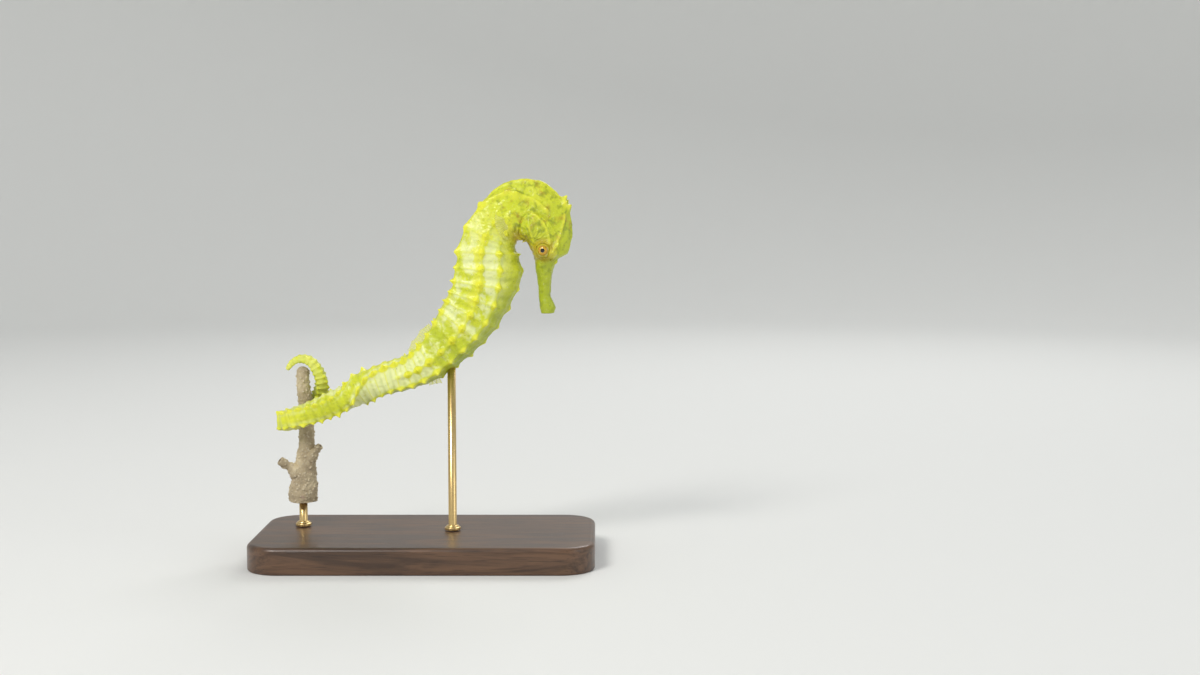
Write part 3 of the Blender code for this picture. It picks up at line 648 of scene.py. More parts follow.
# Name, station and angle of the two ends, rise, and half width.
HEAD_RIDGES = (("brow_ridge", 17.8, 56.0, 24.6, 14.0, 0.60, 0.50),
               ("nape_ridge", 27.0, 0.0, 37.0, 5.0, 0.50, 0.55),
               ("temple_ridge", 20.6, 62.0, 30.0, 58.0, 0.46, 0.55),
               ("gill_ridge", 21.4, 118.0, 29.0, 98.0, 0.40, 0.55),
               ("nape_side_ridge", 27.0, 34.0, 37.5, 23.0, 0.52, 0.55),
               ("throat_ridge", 19.0, 156.0, 33.0, 152.0, 0.30, 0.55),
               ("snout_top_ridge", 6.0, 32.0, 15.5, 26.0, 0.20, 0.35),
               ("snout_side_ridge", 4.5, 96.0, 15.0, 96.0, 0.16, 0.4),
               ("cheek_ridge", 16.5, 118.0, 24.4, 148.0, 0.30, 0.5))
FAN_STATION, FAN_ANGLE, FAN_REACH, FAN_RADIUS = 21.8, 128.0, 10.1, 7.0
NOSTRIL_STATION, NOSTRIL_ANGLE = 15.9, 50.0
JAW_ANGLE = 118.0


def head_relief(s, turn, radius):
    """Height of the head's humps and hollows, and how much of a crest each point is on."""
    height = np.zeros(np.broadcast(s, turn, radius).shape)
    crest = height.copy()
    for _, where, angle, rise, along, wide in HEAD_BUMPS:
        far = ((s - where) / along) ** 2 + (across(turn, angle, radius) / wide) ** 2
        hump = np.maximum(0.0, 1.0 - far / 2.0) ** 2
        height += rise * hump
        if along < 2.0:
            crest = np.maximum(crest, hump)
    u = s - FAN_STATION
    v = across(turn, FAN_ANGLE, radius)
    reach = np.hypot(u, v)
    cover = ease(reach, 1.0, 2.2) * (1.0 - ease(reach, 8.2, 9.4)) * ease(u, -1.5, 1.0)
    height += 0.10 * cover * np.cos(30.0 * np.arctan2(v, u)) * np.clip(reach / 5.0, 0.3, 1.0)
    rim = bell(reach - FAN_REACH, 0.38) * ease(u, -1.0, 3.0)
    height -= 0.42 * rim * ease(150.0 - turn, -10.0, 20.0)
    nostril = np.hypot(s - NOSTRIL_STATION, across(turn, NOSTRIL_ANGLE, radius))
    height -= 0.5 * bell(nostril, 0.3) - 0.14 * bell(nostril - 0.5, 0.22)
    for _, s_from, turn_from, s_to, turn_to, rise, width in HEAD_RIDGES:
        share = np.clip((s - s_from) / (s_to - s_from), 0.0, 1.0)
        aside = across(turn, between(turn_from, turn_to, share), radius)
        line = bell(np.hypot(aside, s - np.clip(s, s_from, s_to)), width)
        height += rise * line
        crest = np.maximum(crest, line * min(1.0, 1.6 * rise))
    keel = ease(s, 17.0, 20.0) * (1.0 - ease(s, 24.0, 26.0))
    height += 0.28 * bell(across(turn, 0.0, radius), 0.5) * keel
    height -= 0.22 * bell(across(turn, JAW_ANGLE, radius), 0.2) * (1.0 - ease(s, 2.6, 4.0))
    return height, crest


print("head forms:", len(HEAD_BUMPS), "humps,", len(HEAD_RIDGES), "ridges")

# %% [markdown]
# Now girth, plates and head forms come together: any station and angle gives one point of the
# skin.  Eyes, fins and crown can ask where the skin is and sit exactly on it.  A ray cast at a
# finished mesh would find nearly the same place, but only once that mesh is made.

# %% The surface of the skin
CREST_POWER = 1.75
EYE_STATION, EYE_ANGLE, EYE_RADIUS, EYE_SINK = 18.6, 84.0, 2.25, 0.75


def squareness(s):
    """Exponent of the cross-section: round on the snout, boxy on the tail."""
    return np.interp(s, (0.0, 15.0, 22.0, 45.0, 90.0, 105.0), (2.0, 2.1, 2.4, 2.3, 2.25, 2.12))


def from_back(angles):
    """How far each angle is from the middle of the back: 0 to 180 on either side."""
    return np.abs((angles + 180.0) % 360.0 - 180.0)


def skin_surface(stations, angles):
    """Skin points for columns of stations and rows of angles, and how raised each one is."""
    s = np.atleast_1d(stations)[:, None]
    raw = np.atleast_1d(angles)[None, :]
    turn = from_back(raw)
    left = (raw % 360.0) < 180.0
    a = np.radians(raw)
    up, down, half = (v[:, None] for v in reaches(s[:, 0]))
    crest = ease(s, 15.0, 20.0) * (1.0 - ease(s, 32.0, 44.0))
    power = squareness(s)
    power = np.where(np.cos(a) > 0.0, between(power, CREST_POWER, crest), power)
    depth = np.where(np.cos(a) >= 0.0, up, down)
    radius = (np.abs(np.sin(a) / half) ** power + np.abs(np.cos(a) / depth) ** power) ** (-1.0 / power)
    plates, raised = plate_relief(s, turn, left, radius)
    forms, edges = head_relief(s, turn, radius)
    radius = radius + plates + forms
    point, _, dorsal, side = (v[:, None, :] for v in body.frame(s[:, 0]))
    way = np.sin(a)[..., None] * side + np.cos(a)[..., None] * dorsal
    return point + radius[..., None] * way, np.maximum(raised, edges)


def eye_centre(side):
    """Centre of an eyeball, a little under the skin; side is +1 left, -1 right."""
    surface = skin_surface(EYE_STATION, side * EYE_ANGLE)[0][0, 0]
    inward = unit(body.frame(EYE_STATION)[0] - surface)
    return surface + inward * EYE_SINK, -inward


for side in (1, -1):
    print("eye", side, "centre", np.round(eye_centre(side)[0], 2))

# %% [markdown]
# The crown is a low tuft with five blunt points, and the skin lies in folds round each eye.
# Both have axes of their own, which the tube's heights can't follow, so skin points that are
# already in place are pushed along the crown's axis or along the gaze.

# %% Crown and eye folds
CROWN_STATION, CROWN_LEAN, CROWN_POINTS, CROWN_REACH = 25.8, 8.0, 5, 1.7
EYE_FOLDS = ((0.62, 2.5, 0.42), (0.16, 3.25, 0.24), (0.1, 3.9, 0.26))   # rise, distance and width


def crown_rise(points):
    """How far the crown lifts each skin point, and along which way."""
    foot = skin_surface(CROWN_STATION, 0.0)[0][0, 0]
    _, tail, dorsal, left = body.frame(CROWN_STATION)
    lean = radians(CROWN_LEAN)
    up = dorsal * cos(lean) + tail * sin(lean)
    ahead = tail * cos(lean) - dorsal * sin(lean)
    off = points - foot
    x, y = off @ ahead, (off @ left) / 0.85
    reach, spin = np.hypot(x, y), np.arctan2(y, x)
    near = ease(3.2 - np.abs(off @ up), 0.0, 1.0)
    spike = np.clip(np.cos(CROWN_POINTS * spin), 0.0, 1.0) ** 2
    rise = 1.25 * (1.0 - ease(reach, 1.5, 2.6)) + 0.3 * (1.0 - ease(reach, 2.0, 3.6))
    rise -= 0.7 * (1.0 - ease(reach, 0.3, 1.4))
    rise += 0.55 * spike * bell(reach - CROWN_REACH, 0.6)
    rise -= 0.12 * (1.0 - spike) * bell(reach - CROWN_REACH, 0.5)
    return (rise * near)[..., None] * up, rise * near


def eye_folds(points):
    """Lift the skin into a fold round each eyeball; also give the distance to the nearer eye."""
    nearest = np.full(points.shape[:-1], 99.0)
    for side in (1, -1):
        centre, gaze = eye_centre(side)
        far = np.linalg.norm(points - centre, axis=-1)
        lift = sum(rise * bell(far - distance, width) for rise, distance, width in EYE_FOLDS)
        points = points + lift[..., None] * gaze
        nearest = np.minimum(nearest, far)
    return points, nearest


print("crown with", CROWN_POINTS, "points,", len(EYE_FOLDS), "folds round each eye")

# %% [markdown]
# The skin is a fine grid: rings of points at every small step along the body, closed round it
# in the other direction.  Modifiers could round off a coarse mesh instead, but they would blunt
# the knobs.  Steps are shortest over the head, where the bent neck fans them out.  Lips and the
# tip of the tail close the two ends, and some values stay on the points for the paint.

# %% One skin over the whole animal
FLESH = ("snout", "head", "coronet", "neck", "trunk_upper", "trunk_lower",
         "tail_1", "tail_2", "tail_3", "tail_4", "tail_tip")
SKIN_STEPS = ((0.0, 46.0, 0.12), (46.0, 100.0, 0.19), (100.0, body.length, 0.16))
SKIN_SIDES = 300
UNEVEN = ((0.085, 3.4, 3), (0.045, 1.5, 4), (0.022, 0.7, 5))    # height, size and seed
LUMP_WAVES, MOUTH_RINGS = 14, 3
LIPS = ((0.97, 0.22), (0.86, 0.38), (0.7, 0.42), (0.55, 0.3), (0.45, 0.0), (0.36, -0.5), (0.2, -0.9))
TAIL_END = ((0.92, 0.22), (0.7, 0.44), (0.35, 0.56))
COARSE = 1


def fine_stations():
    """Where the skin has rings of points."""
    lengths = [np.arange(first, last, step * COARSE) for first, last, step in SKIN_STEPS]
    return np.concatenate(lengths + [[body.length]])


def fine_angles():
    """Angles round the body, a little closer together near the dorsal line."""
    t = np.linspace(0.0, 1.0, SKIN_SIDES // COARSE, endpoint=False)
    return 360.0 * (t - 0.2 * np.sin(2 * pi * t) / (2 * pi))


def closed_ends(rings, middle, ahead, profile):
    """Rings that carry an end ring inwards: (share of its size, how far ahead)."""
    return np.array([middle + (rings - middle) * share + ahead * reach for share, reach in profile])


def fan_lines(s, turn):
    """Dark lines that fan over the gill cover from its lower front corner."""
    u, v = s - FAN_STATION, across(turn, FAN_ANGLE, FAN_RADIUS)
    reach = np.hypot(u, v)
    cover = ease(reach, 1.4, 3.0) * (1.0 - ease(reach, 7.4, 9.4)) * ease(u, -1.0, 1.5)
    return cover * np.clip(np.cos(17.0 * np.arctan2(v, u) + 0.5 * np.sin(2.0 * reach)), 0.0, 1.0) ** 2


def lumps(points, size, seed):
    """Soft irregular lumps, about -1 to 1, from many waves that cross the body in all directions."""
    dice = np.random.RandomState(seed)
    total = np.zeros(points.shape[:-1])
    for _ in range(LUMP_WAVES):
        way = unit(dice.normal(size=3)) * 2 * pi / (size * dice.uniform(0.75, 1.4))
        total += np.cos(points @ way + dice.uniform(0.0, 2 * pi))
    return total / LUMP_WAVES ** 0.5


def on_points(values, pad, columns):
    """One value for each point, from one for each ring or point between the two ends."""
    values = np.pad(values, [pad] + [(0, 0)] * (values.ndim - 1), mode="edge")
    return values.ravel() if values.ndim == 2 else np.repeat(values, columns)


def build_skin():
    """The rings of the whole skin, with values for the paint."""
    stations, angles = fine_stations(), fine_angles()
    points, raised = skin_surface(stations, angles)
    outward = unit(points - body.frame(stations)[0][:, None, :])
    thick = np.interp(stations, (4.0, 16.0, 100.0, body.length), (0.3, 1.0, 0.8, 0.25))[:, None]
    uneven = sum(height * lumps(points, size, seed) for height, size, seed in UNEVEN)
    points, eye_far = eye_folds(points + (uneven * thick)[..., None] * outward)
    lift, crown = crown_rise(points)
    points = points + lift
    lips = closed_ends(points[0], body.points[0], -body.tangent[0], LIPS)
    tip = closed_ends(points[-1], body.points[-1], body.tangent[-1], TAIL_END)
    grid = np.concatenate([lips[::-1], points, tip])
    turn = from_back(angles)
    rings, columns = grid.shape[:2]
    carried = {"along": stations, "ring": ring_number(stations), "raised": raised, "crown": crown,
               "eye_far": eye_far, "fan": fan_lines(stations[:, None], turn[None, :])}
    for key, values in carried.items():
        carried[key] = on_points(values, (len(lips), len(tip)), columns)
    carried["turn"] = np.tile(turn, rings)
    # mouth marks the rings inside the mouth opening, which the paint darkens as painted shade
    carried["mouth"] = np.repeat(np.arange(rings) < MOUTH_RINGS, columns)
    return grid, carried


skin = grid_object("skin", *build_skin())
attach(skin, "root")
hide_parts(*FLESH)
print("skin faces:", len(skin.data.polygons))

# %% [markdown]
# The colours: clear lemon yellow over all, lime on the face and over the hips, and olive on the
# snout.  Olive is also laid on as painted shade: in the furrows between the rings and down the
# belly side.  Cream patches break the flank and the root of the tail, a yellow band runs along
# the side ridge of the trunk, the throat and the skin round the eyes are amber, and the knobs are
# brightest.  A painted picture could be wrapped round the body.  Here it is all drawn by noise
# and by the values the skin carries, so it stays sharp at any distance.  The bump adds what is
# too fine to model: grains, warts, pores and faint threads that run along the body.

# %% Skin paint
LEMON, BRIGHT = (0.66, 0.72, 0.018), (0.90, 0.88, 0.045)
# OLIVE is the snout's and the spots' own colour, and also the colour of painted shade
CREAM, OLIVE = (0.86, 0.91, 0.46), (0.27, 0.33, 0.010)
LIME, PALE_FLECK = (0.40, 0.50, 0.010), (0.95, 0.95, 0.62)
AMBER, INK = (0.42, 0.22, 0.008), (0.06, 0.045, 0.008)
FLESH_GLOW = (1.0, 0.75, 0.2)       # how far red, green and blue light spread under the skin


def skin_paint():
    """The living skin."""
    p = Paint("seahorse_skin")
    here = p.place()
    along, turn, raised = p.carried("along"), p.carried("turn"), p.carried("raised")
    broad = p.noise(here, 110.0, 2.0, 0.5)
    blotch = p.noise(here, 330.0, 3.0, 0.6, 0.4)
    spots = p.noise(here, 560.0, 2.0, 0.5, 0.25)
    fine = p.noise(here, 1300.0, 3.0, 0.6)
    in_ring = p.math("PINGPONG", p.carried("ring"), 0.5) * 2.0
    on_body, head = along.ramp(36.0, 52.0), along.ramp(44.0, 34.0)
    chest = along.ramp(42.0, 48.0) * along.ramp(64.0, 56.0)
    hips = along.ramp(74.0, 79.0) * along.ramp(88.0, 83.0)
    aside = turn + (spots - 0.5) * 40.0 + (blotch - 0.5) * 60.0
    band = aside.ramp(58.0, 72.0) * aside.ramp(96.0, 84.0) * on_body * along.ramp(90.0, 74.0)
    band = band * (along.ramp(74.0, 60.0) * 0.65 + 0.35)
    pale = aside.ramp(84.0, 98.0) * aside.ramp(142.0, 118.0) * along.ramp(76.0, 68.0)
    pale = pale * (spots * 0.16 - 0.045) + along.ramp(86.0, 92.0) * along.ramp(112.0, 104.0) * 0.05
    patch = blotch * 0.55 + broad * 0.55 + pale - in_ring * 0.06 - hips * 0.07
    patch = patch.ramp(0.405, 0.545) * turn.ramp(10.0, 34.0) * turn.ramp(158.0, 112.0) * on_body
    patch = patch * (along.ramp(140.0, 112.0) * 0.7 + 0.3) * raised.ramp(0.5, 0.1)
    face = along.ramp(37.0, 26.0) * 0.48 + along.ramp(19.0, 13.0) * 0.20
    belly = aside.ramp(112.0, 152.0) * on_body * (0.55 - chest * 0.30)
    # painted shade: olive darkening towards the belly side, and in the furrows between the rings
    shade = turn.ramp(116.0, 170.0) * (0.42 - chest * 0.24)
    shade = shade + in_ring.ramp(0.5, 1.0) * 0.22 * on_body
    throat = head * turn.ramp(104.0, 156.0) * along.ramp(12.0, 19.0)
    scatter = p.noise(here, 420.0, 2.0, 0.5)
    specks = (p.cells(here, 1150.0) + scatter * 0.30).ramp(0.27, 0.17) * scatter.ramp(0.56, 0.44)
    colour = p.coats(
        LEMON,
        (broad.ramp(0.35, 0.7) * 0.6, BRIGHT),
        (face + hips * 0.45 + belly, LIME),
        (along.ramp(21.0, 12.0) * 0.38, OLIVE),
        (spots.ramp(0.46, 0.74) * (head * 0.55 + 0.35), OLIVE),
        (patch * (1.0 - band * 0.75) * 0.86, CREAM),
        (band * 0.55, BRIGHT),
        # painted shade in olive, from the shade mask above
        ((shade * along.ramp(176.0, 120.0) * (blotch * 0.7 + 0.65)).clip(), OLIVE),
        (throat * 0.6, AMBER),
        (head * blotch.ramp(0.50, 0.74) * along.ramp(13.0, 19.0) * 0.6, AMBER),
        (p.carried("fan") * 0.5, OLIVE),
        (p.carried("eye_far").ramp(4.6, 2.6) * 0.55, AMBER),
        (raised.ramp(0.2, 0.75) * (0.7 - head * 0.28), BRIGHT),
        (p.carried("crown").ramp(0.5, 1.5) * 0.6, BRIGHT),
        (fine.ramp(0.60, 0.75) * 0.25, PALE_FLECK),
        (specks * 0.65, INK),
        # painted shade: the rings inside the mouth opening are near-black
        (p.carried("mouth") * 0.9, INK))
    threads = p.math("SINE", turn * 2.2 + spots * 14.0) * 0.5 + 0.5
    warts, pores = p.cells(here, 700.0).ramp(0.55, 0.05), p.cells(here, 2600.0).ramp(0.3, 0.0)
    height = p.noise(here, 4200.0, 2.0, 0.6) * 0.35 + fine * 1.1 + spots * 0.5
    height = height + threads * 0.06 * on_body + warts * 0.35 - pores * 0.35
    p.set(Base_Color=colour, Roughness=(fine * 0.25 + 0.28), Normal=p.bump(height, 0.75, 0.00016),
          Coat_Weight=0.22, Coat_Roughness=0.2, Subsurface_Weight=0.10, Subsurface_Scale=0.0010)
    p.shader.inputs["Subsurface Radius"].default_value = FLESH_GLOW
    return p.material


skin.data.materials.append(skin_paint())
print("skin painted")

# %% [markdown]
# A seahorse's eyes stand out in little turrets, and each moves on its own.  Each is a ball with a
# slightly bulging clear front.  The iris is gold, crossed by fine dark rays, round a small
# black pupil.  A plain sphere would do for the shape.  Rings about the gaze are used, because
# their points can carry the angle off it and round it, and the iris is painted from those.

# %% Eyes
# Rings of each ball, in degrees off the gaze: close together in front, wider behind.
EYE_FRONT, EYE_BACK = np.linspace(0.5, 60.0, 48), np.linspace(63.0, 179.0, 24)
EYE_SIDES, EYE_BULGE, BULGE_WIDTH = 96, 0.015, 38.0
IRIS_DEEP, IRIS_GOLD, IRIS_RIM = (0.44, 0.17, 0.004), (0.78, 0.50, 0.02), (0.30, 0.20, 0.012)
IRIS_RAY, PUPIL_RING, PUPIL = (0.06, 0.02, 0.004), (0.90, 0.68, 0.12), (0.004, 0.004, 0.005)
TURRET_DARK, TURRET_PALE = (0.42, 0.36, 0.02), (0.62, 0.56, 0.05)


def build_eye(name, side):
    """An eyeball made of rings round its gaze."""
    centre, gaze = eye_centre(side)
    aside = unit(np.cross(gaze, (0.0, 0.0, 1.0)))
    above = np.cross(aside, gaze)
    off = np.radians(np.concatenate([EYE_FRONT, EYE_BACK]))
    spin = once_round(EYE_SIDES)
    radius = EYE_RADIUS * (1.0 - EYE_BULGE + EYE_BULGE * bell(off, radians(BULGE_WIDTH)))
    forward = (radius * np.cos(off))[:, None, None] * gaze
    ring = np.cos(spin)[:, None] * aside + np.sin(spin)[:, None] * above
    grid = centre + forward + (radius * np.sin(off))[:, None, None] * ring[None]
    carried = {"off_axis": np.repeat(np.degrees(off), len(spin)),
               "ray_x": np.tile(np.cos(spin), len(off)), "ray_y": np.tile(np.sin(spin), len(off))}
    made = grid_object(name, grid, carried)
    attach(made, "root")
    return made


def eye_paint():
    """Gold iris with dark rays, black pupil, wet clear coat."""
    p = Paint("seahorse_eye")
    off = p.carried("off_axis")
    turn = {"X": p.carried("ray_x"), "Y": p.carried("ray_y"), "Z": off * 0.006}
    rays = p.noise(p.node("ShaderNodeCombineXYZ", {}, turn), 9.0, 4.0, 0.65)
    flecks = p.noise(p.place(), 2500.0, 3.0)
    colour = p.coats(
        p.mix(rays.ramp(0.40, 0.60), IRIS_DEEP, IRIS_GOLD),
        (off.ramp(30.0, 40.0) * 0.75, IRIS_RIM),
        (rays.ramp(0.60, 0.68) * off.ramp(16.0, 26.0) * 0.8, IRIS_RAY),
        (off.ramp(19.5, 17.5), PUPIL_RING),
        (off.ramp(40.0, 47.0), p.mix(flecks, TURRET_DARK, TURRET_PALE)),
        (off.ramp(17.6, 16.4), PUPIL))
    p.set(Base_Color=colour, Roughness=0.45, Specular_IOR_Level=0.2, Coat_Weight=1.0, Coat_Roughness=0.02,
          Normal=p.bump(rays, 0.25, 0.0001))
    return p.material


eye_finish = eye_paint()
for name, side in (("eyeball_left", 1), ("eyeball_right", -1)):
    eye = build_eye(name, side)
    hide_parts("eye_left" if side == 1 else "eye_right")
    eye.data.materials.append(eye_finish)
print("two eyes of", 2 * EYE_RADIUS, "mm")

# %% [markdown]
# The fins are clear membranes held up by fine rays.  A flat sheet with a picture of rays would
# look cut out at the edge.  Each is a thin closed sheet between its root on the skin and its
# free edge, thicker along each ray, and the paint lets light through between the rays.

# %% How a fin is made
POINTS_PER_RAY, FIN_STEPS = 8, 20
MEMBRANE, RAY, FIN_MOTTLE = (0.88, 0.90, 0.22), (0.80, 0.78, 0.10), (0.95, 0.93, 0.75)


def build_fin(name, node, root, rays, thickness=0.16):
    """A rayed fin; root(share) gives base point, direction, length and sideways way."""
    shares = np.linspace(0.0, 1.0, POINTS_PER_RAY * (rays - 1) + 1)
    rows = [root(share) for share in shares]
    base, way, reach, side = (np.array([row[k] for row in rows]) for k in range(4))
    on_ray = np.abs(np.cos(pi * shares * (rays - 1))) ** 10
    steps = np.linspace(0.0, 1.0, FIN_STEPS)
    front, back = [], []
    for v in steps:
        notch = 1.0 - 0.06 * (1.0 - on_ray) * v ** 4
        middle = base + way * (reach * v * notch)[:, None]
        wave = 0.12 * v * np.sin(2 * pi * shares * 2.2 + 0.6)[:, None]
        thick = (thickness * (0.35 + 1.1 * on_ray) * (1.0 - 0.65 * v))[:, None]
        front.append(middle + side * (wave + thick / 2))
        back.append(middle + side * (wave - thick / 2))
    grid = np.transpose(np.array(front + back[::-1]), (1, 0, 2))
    carried = {"on_ray": np.repeat(on_ray, 2 * FIN_STEPS),
               "outward": np.tile(np.concatenate([steps, steps[::-1]]), len(shares))}
    made = grid_object(name, grid, carried)
    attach(made, "root")
    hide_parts(node)
    made.data.materials.append(fin_finish)
    print(name, "with", rays, "rays")


def fin_paint():
    """Clear yellow membrane and firmer rays."""
    p = Paint("fin_membrane")
    on_ray = p.carried("on_ray")
    mottle = p.noise(p.place(), 700.0, 3.0)
    colour = p.coats(MEMBRANE, (on_ray.ramp(0.2, 0.8), RAY), (mottle.ramp(0.55, 0.75) * 0.3, FIN_MOTTLE))
    at_root = p.carried("outward").ramp(0.35, 0.0) * 0.5
    alpha = (on_ray.ramp(0.25, 0.9) * 0.36 + 0.36 + at_root).clip()
    p.set(Base_Color=colour, Alpha=alpha, Roughness=0.25, Coat_Weight=0.3, Coat_Roughness=0.1,
          Normal=p.bump(mottle, 0.2, 0.0001))
    return p.material


fin_finish = fin_paint()
print("fin paint ready")

# %% [markdown]
# One fin stands on the back over the hips, a tiny one hangs under the root of the tail, and a
# rounded fan sits behind each gill cover.  A fin could be placed by hand and trimmed to the
# body.  Here each ray asks the skin for the place of its own root, so a fin follows the body
# whatever its shape.

# %% The fins in their places
DORSAL_FIN, DORSAL_RAYS = (79.5, 91.5, 2.6), 17
ANAL_FIN, ANAL_RAYS = (88.2, 90.8, 2.1), 4
PECTORAL_STATION, PECTORAL_TURNS, PECTORAL_RAYS, PECTORAL_LENGTH = 36.8, (88.0, 122.0), 15, 3.9


def dorsal_root(share):
    """Low fan over the hips."""
    first, last, height = DORSAL_FIN
    station = between(first, last, share)
    _, tail, dorsal, left = body.frame(station)
    skin_here = skin_surface(station, 0.0)[0][0, 0]
    way = unit(dorsal * 0.93 + tail * 0.36 * (0.4 + share))
    reach = 0.8 + height * sin(pi * min(1.0, 0.12 + 0.8 * share)) ** 0.6
    return skin_here - 0.8 * dorsal, way, reach, left


def anal_root(share):
    """The tiny fin under the root of the tail."""
    first, last, height = ANAL_FIN
    station = between(first, last, share)
    _, tail, dorsal, left = body.frame(station)
    skin_here = skin_surface(station, 180.0)[0][0, 0]
    way = unit(-dorsal * 0.9 + tail * (0.2 + 0.5 * share))
    return skin_here + 0.5 * dorsal, way, height - 0.5 * share, left


def pectoral_root(side):
    """A rounded fan behind the gill cover of one side."""
    def root(share):
        angle = side * between(*PECTORAL_TURNS, share)
        middle, tail, _, _ = body.frame(PECTORAL_STATION)
        surface = skin_surface(PECTORAL_STATION, angle)[0][0, 0]
        out = unit(surface - middle)
        up = np.cross(tail, out) * side
        spread = radians(-46.0 + 92.0 * share)
        ray = unit(cos(spread) * (0.80 * tail + 0.62 * out) + sin(spread) * up)
        reach = PECTORAL_LENGTH * (0.8 + 0.2 * sin(pi * share)) + 0.5
        return surface - 0.15 * out, ray, reach, unit(np.cross(ray, up))
    return root


build_fin("dorsal_fan", "fin_dorsal", dorsal_root, DORSAL_RAYS)
build_fin("anal_fan", "fin_anal", anal_root, ANAL_RAYS, 0.12)
build_fin("pectoral_fan_left", "fin_pectoral_left", pectoral_root(1), PECTORAL_RAYS)
build_fin("pectoral_fan_right", "fin_pectoral_right", pectoral_root(-1), PECTORAL_RAYS)

# %% [markdown]
# The stem is a sea fan's: a tough core under a rind dotted with small raised cups where the
# polyps sit.  Two side branches are cut off short, and their cut ends show the dark core.  Bump
# alone would leave the outline smooth, so the rind is modelled, cup by cup, from cell noise.

# %% Gorgonian stem
from mathutils import noise

PERCH_THINS = (45.0, 53.0)
# Height, direction, climb, length, and radius at root and end of each cut branch.
PERCH_BRANCHES = ((23.5, 203.0, 36.0, 9.2, 3.0, 1.5), (28.0, 335.0, 44.0, 7.6, 2.4, 1.2))
CORE_SHARE, RIND_STEP, STEM_SIDES, BRANCH_SIDES, DOME_RINGS = 0.42, 0.16, 150, 90, 20


def foot_share(height):
    """1 at the thick foot of the stem, 0 from just below the grip."""
    return 1.0 - ease(height, PERCH_BOTTOM, PERCH_GRIP - 3.0)


def rind_ring(centre, level, upward, radius, share, uneven, spin):
    """One ring of rind round a centre: its points, and how far inside a polyp's cup each is."""
    line, cups = [], []
    for a in spin:
        way = level * cos(a) + upward * sin(a)
        at = Vector(centre + way * radius * share)
        cup = max(0.0, 1.0 - noise.voronoi(at * 0.9)[0][0] * 2.1)
        pit = ease(cup, 0.72, 0.95)
        lump = noise.noise(at * 0.35) * 0.6 * uneven + noise.noise(at * 0.8) * 0.16
        lump += noise.noise(at * 2.2) * 0.06 + 0.34 * ease(cup, 0.0, 0.8) - 0.30 * pit
        line.append(centre + way * (radius * share + lump * share - 0.22))
        cups.append(cup)
    return line, cups


def stem_rings():
    """The stem from its cut foot to its rounded top."""
    heights = np.arange(PERCH_BOTTOM, PERCH_TOP, RIND_STEP * COARSE)
    domes = np.sin(np.linspace(0.0, pi / 2, DOME_RINGS + 2)[1:-1])
    spin = once_round(STEM_SIDES // COARSE)
    rows = [(z, 1.0) for z in heights]
    rows += [(PERCH_TOP + 0.8 * PERCH_TIP_RADIUS * d, float(np.sqrt(1.0 - d * d))) for d in domes]
    level, upward = np.array((1.0, 0.0, 0.0)), np.array((0.0, 1.0, 0.0))
    for z, share in rows:
        below, above = foot_share(z), ease(z, *PERCH_THINS)
        radius = between(PERCH_RADIUS, PERCH_ROOT_RADIUS, below)
        radius -= (PERCH_RADIUS - PERCH_TIP_RADIUS) * above
        centre = np.array((-PERCH_SWAY * below - PERCH_TIP_SWAY * above, 0.0, z))
        yield rind_ring(centre, level, upward, radius, share, below, spin) + (0.0,)


def branch_rings(height, turn, climb, length, root, end):
    """A side branch from inside the stem to its cut end, closed by a flat face."""
    turn, climb = radians(turn), radians(climb)
    way = np.array((cos(climb) * cos(turn), cos(climb) * sin(turn), sin(climb)))
    level = np.array((-sin(turn), cos(turn), 0.0))
    upward = np.cross(way, level)
    foot = np.array((-PERCH_SWAY * foot_share(height), 0.0, height))
    spin = once_round(BRANCH_SIDES // COARSE)
    rows = [(reach, 1.0, 0.0) for reach in np.arange(0.0, length - 0.3, RIND_STEP)]
    rows += [(length - 0.12, 0.95, 0.0), (length, 0.84, 0.0), (length, CORE_SHARE + 0.1, 0.0),
             (length, CORE_SHARE, 1.0), (length - 0.06, CORE_SHARE - 0.08, 1.0),
             (length - 0.06, 0.2, 1.0)]
    for reach, share, core in rows:
        radius = between(end, root, 1.0 - ease(reach, 2.5, 6.0))
        yield rind_ring(foot + way * reach, level, upward, radius, share, 0.3, spin) + (core,)


def build_rind(name, rings):
    """A mesh from rings of rind, set on the stem's own axis."""
    rings = list(rings)
    cups = [cup for ring in rings for cup in ring[1]]
    core = [ring[2] for ring in rings for _ in ring[1]]
    grid = np.array([ring[0] for ring in rings]) + np.array((*body.axis, 0.0))
    return grid_object(name, grid, {"cup": cups, "core": core})


def build_stem():
    """The stem and its cut branches as one piece."""
    stem = build_rind("gorgonian_stem", stem_rings())
    branches = [build_rind("cut_branch", branch_rings(*row)) for row in PERCH_BRANCHES]
    with bpy.context.temp_override(active_object=stem, selected_editable_objects=[stem, *branches]):
        bpy.ops.object.join()
    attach(stem, "root")
    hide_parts("perch")
    return stem


stem = build_stem()
print("stem faces:", len(stem.data.polygons))

# %% [markdown]
# The rind is a dull tan, with paler cups, a dark pit in each, and a rosy stain here and there.
# The paint reads how far inside a cup each point is, so pits and colour can't drift apart, as
# two separate noises might.

# %% Stem paint
RIND_DARK, RIND_TAN, RIND_PALE = (0.38, 0.30, 0.19), (0.60, 0.50, 0.33), (0.72, 0.73, 0.62)
CUP_RIM, CUP_PIT = (0.74, 0.66, 0.49), (0.14, 0.11, 0.06)
RIND_ROSE, HORN = (0.42, 0.22, 0.24), (0.085, 0.045, 0.022)


